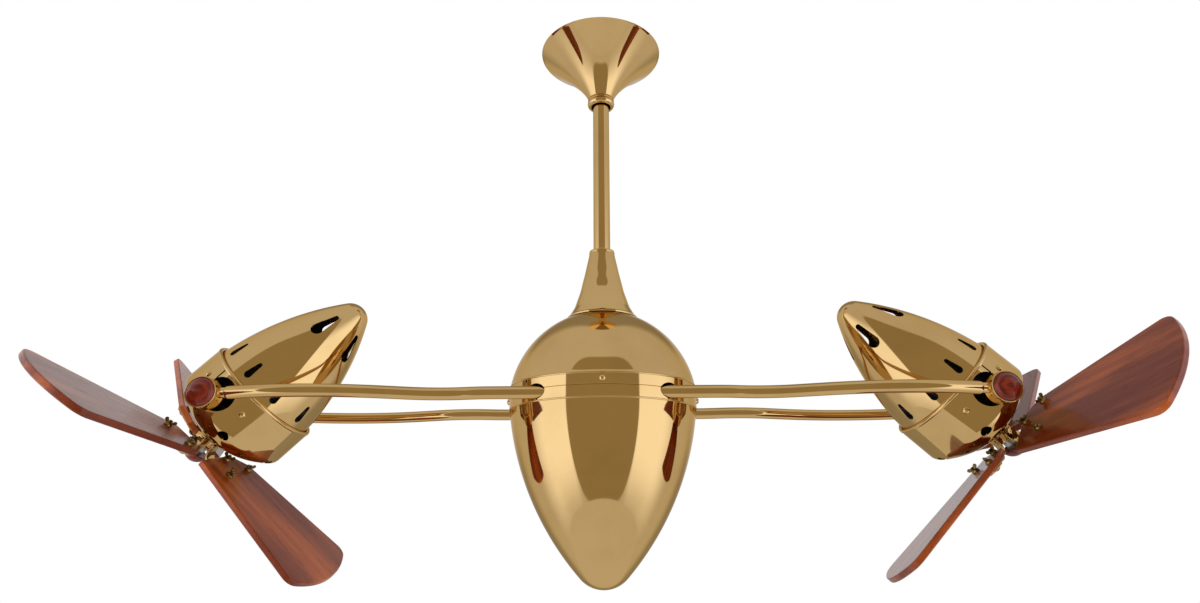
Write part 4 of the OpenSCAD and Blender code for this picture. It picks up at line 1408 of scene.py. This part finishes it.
def head_place(side: Side) -> Matrix:
    """Where a head's own axis stands: Z along the axis to the hub, X to the nose's upper side."""
    tilt = side.value * (90 + HEAD_TILT[side])
    spin = 0 if side is Side.LEFT else 180
    return pivot(side) @ turn(tilt, "Y") @ turn(spin, "Z") @ shift(x=HEAD_OFFSET)


@dataclass
class Head(SubAssembly):
    """One tilting head: front shell, rear dome, their screws and the windings.

    Attributes:
        side: the end of the fan.
        shell_r: radius of the front shell.
        sheet: sheet thickness.
        seam: distance of the seam bead behind the pivot.
        bead: middle radius and tube radius of the seam bead.
        shoulder_r: radius of the shoulder.
        nose_s: reach of the nose.
        nose_arc: radius of the nose curve.
        nose_hole_r: radius of the shaft's hole.
        opening: radius of a side opening, and its distance behind the pivot.
        slit: distance of the slits' middle from the axis, their width and their length.
        air_hole_r: radius of an air hole in the shoulder.
        screw_turn: turn of the shell screws from the side openings.
        screw_s: their distance before the pivot.
        rear: the rear dome's egg end.
        slot_count: number of slots in the seam ring.
        slot_first: direction of the first slot.
        seam_slot: wide end, its radius, narrow end and its radius.
        tip_slot: the same for a slot in the tip ring.
        coil: middle radius and tube radius of a coil head.
        coil_ends: where the two coil heads lie along the axis.
    """

    side: Side = Side.LEFT
    shell_r: float = 64.5
    sheet: float = 1.2
    seam: float = 24.5
    bead: Point2 = (62.95, 2.1)
    shoulder_r: float = 9.0
    nose_s: float = 45.5
    nose_arc: float = 90.0
    nose_hole_r: float = 12.0
    opening: Point2 = (17.5, 4.0)
    slit: Point3 = (17.8, 1.6, 11.0)
    air_hole_r: float = 6.0
    screw_turn: float = 27.0
    screw_s: float = -7.0
    rear: EggEnd = EggEnd((60.6, -23.5), 293.0, -160.5, 18.7)
    slot_count: int = 10
    slot_first: float = 54.0
    seam_slot: Point4 = (-36.0, 3.9, -50.0, 2.2)
    tip_slot: Point4 = (-113.0, 6.2, -134.0, 2.8)
    coil: Point2 = (33.35, 4.95)
    coil_ends: Point2 = (-31.05, 7.05)

    def __post_init__(self) -> None:
        """Names the body that the head is."""
        self.body = f"{self.side.word}_head"

    @property
    def shoulder(self) -> Point2:
        """Centre of the shoulder's arc."""
        x = self.shell_r - self.shoulder_r
        reach = math.sqrt((self.nose_arc - self.shoulder_r) ** 2 - x * x)
        return x, self.nose_s - self.nose_arc + reach

    def front_line(self) -> list[Point2]:
        """Closed outline of the front shell.

        Returns:
            Radius and height of each point.
        """
        nose = (0.0, self.nose_s - self.nose_arc)
        soft = bearing(nose, self.shoulder)
        rim = math.degrees(math.acos(self.nose_hole_r / self.nose_arc))
        mid, tube = self.bead
        inside = self.shell_r - self.sheet
        roll_in = math.degrees(math.acos((inside - mid) / tube))
        roll_out = math.degrees(math.acos((self.shell_r - mid) / tube))
        return (arc((mid, -self.seam), tube, roll_in, 360 + roll_out, 36)
                + arc(self.shoulder, self.shoulder_r, 0, soft, 16)
                + arc(nose, self.nose_arc, soft, rim, 40)[1:]
                + arc(nose, self.nose_arc - self.sheet, rim, soft, 30)
                + arc(self.shoulder, self.shoulder_r - self.sheet, soft, 0, 10))

    def front_tools(self) -> tuple[BMesh, BMesh]:
        """Cutting solids for the side openings and air holes, and for the openings' slits.

        Returns:
            The two sets of solids, which the cut frees.
        """
        tools, slits = bmesh.new(), bmesh.new()
        radius, back = self.opening
        n, width, length = self.slit
        low = -self.seam + self.bead[1]
        for sign in (-1, 1):
            spin_into(tools, drum(radius, 30, 80), HALF_ROUND,
                      in_mm(shift(x=-HEAD_OFFSET, z=-back) @ turn(-90 * sign, "X")))
            end = low + length
            corner = width / 2
            outline = ([(n - corner, low), (n + corner, low)]
                       + arc((n, end - corner), corner, 0, 180, 8))
            prism_into(slits, outline, self.shell_r - radius, self.shell_r + radius,
                       Matrix(((1, 0, 0, 0), (0, 0, sign, 0), (0, 1, 0, 0), (0, 0, 0, 1))))
        x, s = self.shoulder
        for k in range(6):
            spin_into(tools, drum(self.air_hole_r, 0, 20), SMALL_ROUND,
                      in_mm(turn(60 * k, "Z") @ shift(x=x, z=s) @ turn(45, "Y")))
        return tools, slits

    def make_front(self) -> None:
        """Builds the front shell."""
        piece = pierced(f"{self.side.word}_front_housing", self.front_line(),
                        *self.front_tools())
        self.fit(piece, BRASS, f"{self.side.word}_front_shell", place=head_place(self.side))

    @staticmethod
    def teardrop(slot: Point4) -> list[Point2]:
        """Outline of a slot, across and along the axis.

        Args:
            slot: wide end, its radius, narrow end and its radius.

        Returns:
            The outline's points.
        """
        s0, r0, s1, r1 = slot
        lean = math.degrees(math.asin((r0 - r1) / (s0 - s1)))
        return (arc((0, s0), r0, -lean, 180 + lean, 24)
                + arc((0, s1), r1, 180 + lean, 360 - lean, 14))

    def slots(self) -> Iterable[tuple[Point4, float]]:
        """Each slot of the rear dome and its direction.

        Returns:
            The slot's sizes and its direction in degrees, one slot after another.
        """
        step = 360 / self.slot_count
        for i in range(self.slot_count):
            yield self.seam_slot, self.slot_first + i * step
        for i in range(self.slot_count // 2):
            yield self.tip_slot, self.slot_first + 2 * i * step

    @staticmethod
    def outward(direction: float) -> Matrix:
        """Placement whose Z points out at a direction, whose Y runs along the axis."""
        facing = Matrix(((0, 0, 1, 0), (1, 0, 0, 0), (0, 1, 0, 0), (0, 0, 0, 1)))
        return turn(direction, "Z") @ facing

    def make_rear(self) -> None:
        """Builds the rear dome with its teardrop slots."""
        line = self.rear.line() + list(reversed(self.rear.line(self.sheet)))
        tools = bmesh.new()
        for slot, direction in self.slots():
            prism_into(tools, self.teardrop(slot), 12, 80, self.outward(direction))
        self.fit(pierced(f"{self.side.word}_rear_housing", line, tools), BRASS,
                 f"{self.side.word}_rear_dome", place=head_place(self.side))

    def make_screws(self) -> None:
        """Builds the domed shell screws."""
        bm = bmesh.new()
        for base in (90, 270):
            for t in (-1, 1):
                spin_into(bm, screw_line(12, 3.2), SMALL_ROUND,
                          off_skin(base + t * self.screw_turn, self.shell_r, self.screw_s))
        self.fit(from_bmesh(f"{self.side.word}_shell_screw_heads", bm), BRASS,
                 f"{self.side.word}_shell_screws", place=head_place(self.side))

    def make_windings(self) -> None:
        """Builds the wound coil heads at both ends of the stator, lumped between its teeth."""
        bm = bmesh.new()
        around = 288
        middle, tube = self.coil
        turns = [2 * math.pi * i / around for i in range(around)]
        lumps = [tube * (0.86 + 0.14 * abs(math.sin(6 * 2 * math.pi * i / around)) ** 0.7)
                 for i in range(around)]
        for s in self.coil_ends:
            path = [Vector((middle * math.cos(a), middle * math.sin(a), s)) for a in turns]
            tube_into(bm, path, lumps, TINY_ROUND, UP, ring=True)
        self.fit(from_bmesh(f"{self.side.word}_coil_heads", bm), COPPER,
                 f"{self.side.word}_windings", place=head_place(self.side))

    def build(self) -> None:
        """Builds and dresses the head."""
        self.make_front()
        self.make_rear()
        self.make_screws()
        self.make_windings()
        word = self.side.word
        self.dress_nodes({IRON: (f"{word}_motor_frame", f"{word}_rear_bell"),
                          STEEL: (f"{word}_stator", f"{word}_bearings")})


@dataclass
class Rotor(SubAssembly):
    """What spins on a head: hub, blade irons, blades, their fasteners and the finial.

    Attributes:
        side: the end of the fan.
        phase: direction of the first blade.
        pitch: pitch of the blades.
        blade_s: distance of the blades' rear faces before the pivot.
        thickness: thickness of a blade.
        root: distance of a blade's root from the axis, and its width.
        tip: distance of its tip from the axis, and its width there.
        sideways: shift of the blade from the radius.
        corner_r: radius of the tip's corners.
        crown: rise of the tip's crown.
        chamfer: how far the chamfered root corner reaches along and across.
        hub: distance of the hub's flats, its radius, its low and its high end.
        iron_t: thickness of a blade iron.
        iron_w: width of its neck.
        iron_bend: inner radius of its bend.
        iron_pad: outline of its pad, which the bolts go through, in a blade's frame.
        nut_spots: where the bolts go through, in a blade's frame.
        nut_spins: how far each wing nut is turned.
        seats: how each blade sits off its even place: along the turn, in pitch and in cone.
        finial_s: distance of the finial before the pivot.
        finial: radius and height of its dome.
    """

    side: Side = Side.LEFT
    phase: float = 50.0
    pitch: float = 10.0
    blade_s: float = 55.5
    thickness: float = 6.5
    root: Point2 = (20.0, 65.0)
    tip: Point2 = (196.0, 128.0)
    sideways: float = -5.0
    corner_r: float = 13.0
    crown: float = 17.0
    chamfer: Point2 = (17.0, 14.0)
    hub: Point4 = (9.5, 12.0, 46.1, 55.0)
    iron_t: float = 2.0
    iron_w: float = 14.0
    iron_bend: float = 8.4
    iron_pad: tuple[Point2, ...] = ((40, -39), (51, -39), (54, -36), (54, 12), (52, 14), (44, 14))
    nut_spots: tuple[Point2, ...] = ((25, -12), (44, -32), (46, 8))
    nut_spins: tuple[float, ...] = (20, 75, 130)
    seats: tuple[Point3, ...] = ((0, 0, 0), (0, 0, 0), (0, 0, 0))
    finial_s: float = 64.8
    finial: Point2 = (13.0, 10.0)

    def __post_init__(self) -> None:
        """Names the body that the rotor is."""
        self.body = f"{self.side.word}_rotor"

    def blade_place(self, i: int) -> Matrix:
        """A blade's own frame: X out along the blade, Z square to its rear face."""
        along, pitch, cone = self.seats[i]
        return (head_place(self.side) @ turn(self.phase + 120 * i + along, "Z")
                @ shift(z=self.blade_s) @ turn(self.pitch + pitch, "X") @ turn(cone, "Y"))

    def blade_line(self) -> list[Point2]:
        """Outline of a blade: flared sides, rounded corners and a crowned tip.

        Returns:
            The outline's points, in a blade's frame.
        """
        root = Vector((self.root[0], self.root[1] / 2))
        half = self.tip[1] / 2
        u = (Vector((self.tip[0] - self.crown, half)) - root).normalized()
        out = Vector((-u.y, u.x))
        crown_r = (half * half + self.crown * self.crown) / (2 * self.crown)
        q = Vector((self.tip[0] - crown_r, 0.0))
        w = root - self.corner_r * out - q
        t = -w.dot(u) + math.sqrt(w.dot(u) ** 2 - w.dot(w) + (crown_r - self.corner_r) ** 2)
        c = q + w + t * u
        edge = bearing(q, c)
        side = arc(tuple(c), self.corner_r, bearing((0, 0), out), edge, 14)
        along, across = self.chamfer
        upper = [tuple(root), *side]
        lower = [(x, -y) for x, y in reversed(side)]
        foot = [(root.x + along, -root.y - along * u.y / u.x), (root.x, across - root.y)]
        return upper + arc(tuple(q), crown_r, edge, -edge, 48)[1:-1] + lower + foot

    def make_blade(self, i: int) -> None:
        """Builds one blade.

        Args:
            i: its number, from 0.
        """
        bm = bmesh.new()
        line = [(x, y + self.sideways) for x, y in self.blade_line()]
        prism_into(bm, line, 0, self.thickness, HERE)
        piece = rounded(from_bmesh(f"{self.side.word}_blade_board_{i + 1}", bm), 1.3, 4)
        self.fit(piece, WOOD, f"{self.side.word}_blade_{i + 1}", place=self.blade_place(i))

    @property
    def bend(self) -> Point3:
        """Where an iron's bend starts, out and up, and how much of its tongue the bend takes."""
        return (self.hub[0] + GAP + self.iron_t + self.iron_bend,
                self.thickness + GAP - self.iron_bend,
                (self.iron_bend + self.iron_t / 2) * math.pi / 2)

    def bend_iron(self, mesh: Mesh) -> None:
        """Bends a flat iron's tongue down to the hub's flat.

        Args:
            mesh: the flat iron, in a blade's frame.
        """
        bend_x, bend_z, run = self.bend
        for v in mesh.vertices:
            x, z = v.co.x / MM, v.co.z / MM
            if x >= bend_x:
                continue
            reach = z - bend_z
            back = bend_x - x
            angle = min(back / run, 1.0) * math.pi / 2
            beyond = max(back - run, 0.0)
            v.co.x = (bend_x - reach * math.sin(angle)) * MM
            v.co.z = (bend_z + reach * math.cos(angle) - beyond) * MM

    def make_irons(self) -> None:
        """Builds the three blade irons."""
        bend_x, bend_z, run = self.bend
        neck = bend_z - (self.hub[2] + 1 - self.blade_s)
        half = self.iron_w / 2
        tongue = [bend_x - run - neck + (run + neck) * k / 16 for k in range(16)]
        line = ([(x, half) for x in reversed(tongue)] + [(x, -half) for x in tongue]
                + [(bend_x, -half), *self.iron_pad, (bend_x, half)])
        low = self.thickness + GAP
        for i in range(3):
            bm = bmesh.new()
            prism_into(bm, line, low, low + self.iron_t, HERE)
            for x in tongue[1:] + [bend_x]:
                bmesh.ops.bisect_plane(bm, geom=bm.verts[:] + bm.edges[:] + bm.faces[:],
                                       plane_co=(x, 0, 0), plane_no=(1, 0, 0))
            piece = rounded(from_bmesh(f"{self.side.word}_iron_{i + 1}", bm), 0.35, 2)
            self.bend_iron(piece.data)
            crease(piece.data)
            self.fit(piece, BRASS, f"{self.side.word}_blade_irons", place=self.blade_place(i))

    def make_hub(self) -> None:
        """Builds the hub, whose three flats face the blades."""
        flat, radius, low, high = self.hub
        edge = math.degrees(math.acos(flat / radius))
        line = [p for first in (0, 120, 240)
                for p in arc((0, 0), radius, first + edge, first + 120 - edge, 24)]
        bm = bmesh.new()
        prism_into(bm, line, low, high, in_mm(turn(self.phase, "Z")))
        piece = rounded(from_bmesh(f"{self.side.word}_hub_block", bm), 0.5, 3)
        self.fit(piece, BRASS, f"{self.side.word}_hub", place=head_place(self.side))

    @staticmethod
    def wing(bm: BMesh, place: Matrix, sign: int) -> None:
        """Adds one wing of a wing nut.

        Args:
            bm: the bmesh that takes it.
            place: the nut's placement, in millimetres.
            sign: which of the two wings.
        """
        lobe, half = arc((4.7, 5.2), 1.8, -50, 130, 14), 0.9
        line = [(1.2, 0.9), (3.0, 1.9), *lobe, (2.2, 4.8), (1.2, 2.8)]
        line = [(sign * x, z) for x, z in line]
        if sign < 0:
            line.reverse()
        upright = Matrix(((1, 0, 0, 0), (0, 0, -1, 0), (0, 1, 0, 0), (0, 0, 0, 1)))
        prism_into(bm, line, -half, half, place @ upright)

    def make_nuts(self) -> None:
        """Builds the wing nuts on the blades' rear faces."""
        base = [(2.0, GAP), (3.9, GAP), (4.2, 0.35), (4.1, 0.8), (3.4, 2.5), (3.1, 2.88),
                (2.8, 3.0), (2.0, 3.0)]
        bm = bmesh.new()
        for i in range(3):
            there = self.blade_place(i)
            for (x, y), spin in zip(self.nut_spots, self.nut_spins):
                place = in_mm(there @ shift(x, y) @ turn(180, "X") @ turn(spin, "Z"))
                spin_into(bm, base, NUT_ROUND, place)
                for sign in (-1, 1):
                    self.wing(bm, place, sign)
        piece = rounded(from_bmesh(f"{self.side.word}_wing_nuts", bm), 0.4, 3)
        self.fit(piece, NUT_BRASS, f"{self.side.word}_blade_fasteners")

    def make_bolts(self) -> None:
        """Builds the domed bolts with their threaded tails."""
        tail, head = -6.0, self.thickness + self.iron_t + 2 * GAP
        shank, head_r, step = 2, 4, 0.5
        thread = []
        for k in range(11):
            z = tail + 0.2 + step * k
            thread += [(1.72, z), (1.98, z + step / 2)]
        line = [(0, tail), (1.5, tail), *thread, (shank, 0), (shank, head), (head_r, head)]
        line += dome_line(head_r, 1.75, head + 0.2, 10)
        bm = bmesh.new()
        for i in range(3):
            for x, y in self.nut_spots:
                spin_into(bm, line, NUT_ROUND, in_mm(self.blade_place(i) @ shift(x, y)))
        self.fit(from_bmesh(f"{self.side.word}_bolts", bm), NUT_BRASS,
                 f"{self.side.word}_blade_fasteners")

    def make_finial(self) -> None:
        """Builds the wooden finial."""
        radius, height = self.finial
        low = self.finial_s
        line = [(0, low), (radius - 0.5, low), (radius, low + 0.5), (radius, low + 1.8)]
        line += dome_line(radius, height + 0.2, low + 1.8, 24)[1:]
        self.fit(spun(f"{self.side.word}_finial_knob", line, HALF_ROUND), CABOCHON_WOOD,
                 f"{self.side.word}_finial", place=head_place(self.side))

    def build(self) -> None:
        """Builds and dresses the rotor."""
        for i in range(3):
            self.make_blade(i)
        self.make_hub()
        self.make_irons()
        self.make_nuts()
        self.make_bolts()
        self.make_finial()
        self.dress_nodes({STEEL: (f"{self.side.word}_shaft", f"{self.side.word}_rotor_core")})


# ------------------------------------------------------------------ studio


@dataclass
class Studio:
    """Camera, soft lights, surroundings and floor.

    The camera sees a white room. Polished surfaces mirror another one, as in the photograph:
    dark in front, with a tall soft box on each side, mid grey further round and darker behind.

    Attributes:
        camera_at: where the camera stands, in metres.
        camera_lens: its focal length, in millimetres.
        camera_turn: its turn about Z, in degrees.
        camera_rise: its turn about X.
        camera_roll: its roll.
        box_turn: direction of the two soft boxes that light the fan, in degrees from the front.
        box_size: width and height of a soft box, in metres.
        box_away: how far a soft box stands from the body, in metres.
        box_z: height of its middle.
        box_power: its power, in watts.
        fill: how bright the surroundings light matt surfaces.
        front: how far the dark front reaches to each side, and up and down, in radians.
        front_square: how square its corners are, across and upward.
        front_fade: between which shares of its reach it fades out.
        front_colour: how it mirrors.
        around: how bright the rest of the room mirrors.
        behind: how bright it mirrors behind the fan, below it, level with it and above it.
        behind_from: between which directions from the front it turns to that, in radians.
        behind_level: between which rises it turns from below to level.
        behind_high: between which rises it turns from level to above.
        glow: where the mirrored soft boxes begin, begin to fade, and end, in radians.
        glow_edge: over how many radians they begin.
        glow_low: between which rises they begin.
        glow_high: between which rises they end.
        glow_colour: how they mirror.
        floor_z: height of the floor, in metres.
        floor_r: radius of the floor.
        floor_tone: its grey.
        floor_rough: its roughness.
        floor_glow: how bright it mirrors in polished metal.
        floor_pale: how far it goes to white where the camera sees it.
    """

    camera_at: Point3 = (0.0028, -0.762, -0.5635)
    camera_lens: float = 21.17
    camera_turn: float = 0.4
    camera_rise: float = 107.34
    camera_roll: float = -0.312
    box_turn: float = 61.0
    box_size: Point2 = (0.95, 2.9)
    box_away: float = 1.6
    box_z: float = -0.45
    box_power: float = 18.0
    fill: float = 0.5
    front: Point2 = (0.77, 0.86)
    front_square: Point2 = (5.0, 3.0)
    front_fade: Point2 = (0.92, 1.08)
    front_colour: Colour = (0.38, 0.32, 0.21)
    around: float = 0.68
    behind: Point3 = (0.4, 0.68, 0.36)
    behind_from: Point2 = (2.2, 2.6)
    behind_level: Point2 = (-0.12, 0.08)
    behind_high: Point2 = (0.42, 0.6)
    glow: Point3 = (0.80, 1.35, 1.95)
    glow_edge: float = 0.2
    glow_low: Point2 = (-0.95, -0.4)
    glow_high: Point2 = (0.15, 0.52)
    glow_colour: Colour = (1.42, 1.50, 1.72)
    floor_z: float = -2.6
    floor_r: float = 1.95
    floor_tone: float = 0.9
    floor_rough: float = 0.8
    floor_glow: float = 0.72
    floor_pale: float = 0.7

    def make_camera(self) -> None:
        """Places the camera at the photograph's angle."""
        data = bpy.data.cameras.new("camera")
        data.lens = self.camera_lens
        data.sensor_width = 36.0
        data.sensor_fit = "HORIZONTAL"
        data.clip_start = 0.01
        made = bpy.data.objects.new("camera", data)
        bpy.context.scene.collection.objects.link(made)
        made.matrix_world = (Matrix.Translation(self.camera_at) @ turn(self.camera_turn, "Z")
                             @ turn(self.camera_rise, "X") @ turn(self.camera_roll, "Z"))
        bpy.context.scene.camera = made

    def make_lights(self) -> None:
        """Places a tall soft box on each side of the camera."""
        for side in Side:
            data = bpy.data.lights.new(f"{side.word}_soft_box", "AREA")
            data.shape = "RECTANGLE"
            data.size, data.size_y = self.box_size
            data.energy = self.box_power
            made = bpy.data.objects.new(f"{side.word}_soft_box", data)
            bpy.context.scene.collection.objects.link(made)
            a = math.radians(self.box_turn) * side.value
            away = Vector((math.sin(a), -math.cos(a), 0.0)) * self.box_away
            made.location = Vector((0, 0, self.box_z)) + away
            made.rotation_euler = away.to_track_quat("Z", "Y").to_euler()
            made.visible_camera = False
            made.visible_glossy = False

    def make_world(self) -> None:
        """Fills the surroundings: white to look at, and the mirrored room."""
        world = bpy.data.worlds.new("pale_room")
        world.use_nodes = True
        world.node_tree.nodes.clear()
        bpy.context.scene.world = world
        g = Graph(world.node_tree)
        look = g.node("ShaderNodeTexCoord").outputs["Generated"]
        axes = g.node("ShaderNodeSeparateXYZ", {0: look}).outputs
        azimuth = g.maths("ABSOLUTE", g.maths("ARCTAN2", axes[0], g.product(axes[1], -1.0)))
        rise = g.maths("ARCSINE", axes[2])
        across, upward = (
            g.maths("POWER", g.maths("DIVIDE", angle, reach), power) for angle, reach, power in
            zip((azimuth, g.maths("ABSOLUTE", rise)), self.front, self.front_square))
        inside = g.ramp(g.maths("ADD", across, upward), *self.front_fade, 1.0, 0.0)
        begin, fade, end = self.glow
        column = g.product(g.ramp(azimuth, begin - self.glow_edge, begin),
                           g.ramp(azimuth, fade, end, 1.0, 0.0))
        column = g.product(column, g.ramp(rise, *self.glow_low))
        column = g.product(column, g.ramp(rise, *self.glow_high, 1.0, 0.0))
        low, level, high = (grey(tone) for tone in self.behind)
        back = g.blend(g.ramp(rise, *self.behind_level), low, level)
        back = g.blend(g.ramp(rise, *self.behind_high), back, high)
        room = g.blend(g.ramp(azimuth, *self.behind_from), grey(self.around), back)
        room = g.blend(column, room, rgba(self.glow_colour))
        mirrored = g.blend(inside, room, rgba(self.front_colour))
        path = g.node("ShaderNodeLightPath").outputs
        shiny = g.maths("MAXIMUM", path["Is Glossy Ray"], path["Is Transmission Ray"])
        colour = g.blend(shiny, grey(self.fill), mirrored)
        colour = g.blend(path["Is Camera Ray"], colour, grey(1.0))
        shader = g.node("ShaderNodeBackground", {"Color": colour, "Strength": 1.0})
        g.feed(g.node("ShaderNodeOutputWorld").inputs["Surface"], shader.outputs[0])

    def make_floor(self) -> None:
        """Lays a plain pale floor far below the fan."""
        bm = bmesh.new()
        spin_into(bm, drum(self.floor_r / MM, -10, 0), HALF_ROUND, HERE)
        floor = from_bmesh("floor", bm)
        floor.location.z = self.floor_z
        material = bpy.data.materials.new("pale_floor")
        material.use_nodes = True
        g = Graph(material.node_tree)
        shader = material.node_tree.nodes["Principled BSDF"]
        g.give(shader, Base_Color=grey(self.floor_tone), Roughness=self.floor_rough)
        path = g.node("ShaderNodeLightPath").outputs
        shade, pale = (g.node("ShaderNodeEmission", {"Color": grey(1.0), "Strength": strength})
                       for strength in (self.floor_glow, 1.0))
        seen = g.product(path["Is Camera Ray"], self.floor_pale)
        mixed = g.node("ShaderNodeMixShader", {0: seen, 1: shader.outputs[0], 2: pale.outputs[0]})
        mixed = g.node("ShaderNodeMixShader",
                       {0: path["Is Glossy Ray"], 1: mixed.outputs[0], 2: shade.outputs[0]})
        output = material.node_tree.nodes["Material Output"]
        g.feed(output.inputs["Surface"], mixed.outputs[0])
        floor.data.materials.append(material)

    def build(self) -> None:
        """Builds the studio."""
        self.make_camera()
        self.make_world()
        self.make_lights()
        self.make_floor()
        bpy.context.scene.view_settings.view_transform = "Standard"


def main() -> None:
    """Builds the fan, sub-assembly by sub-assembly, and reports each piece."""
    logging.basicConfig(level=logging.INFO, format="%(name)s: %(message)s")
    Studio().build()
    parts: list[SubAssembly] = [Hanging(), Body(), Arms()]
    parts += [Head(side=side) for side in Side]
    parts += [Rotor(side=Side.LEFT, phase=50.0,
                    seats=((3.5, 3.0, -3.5), (3.5, -1.8, 2.0), (1.7, 2.5, -2.0))),
              Rotor(side=Side.RIGHT, phase=66.0,
                    seats=((0.3, -3.3, -3.2), (-4.5, 1.5, 2.0), (1.0, 0.0, -2.5)))]
    for part in parts:
        part.build()
        LOG.info("%s: %d pieces", type(part).__name__, len(part.pieces))


if __name__ == "__main__":
    main()
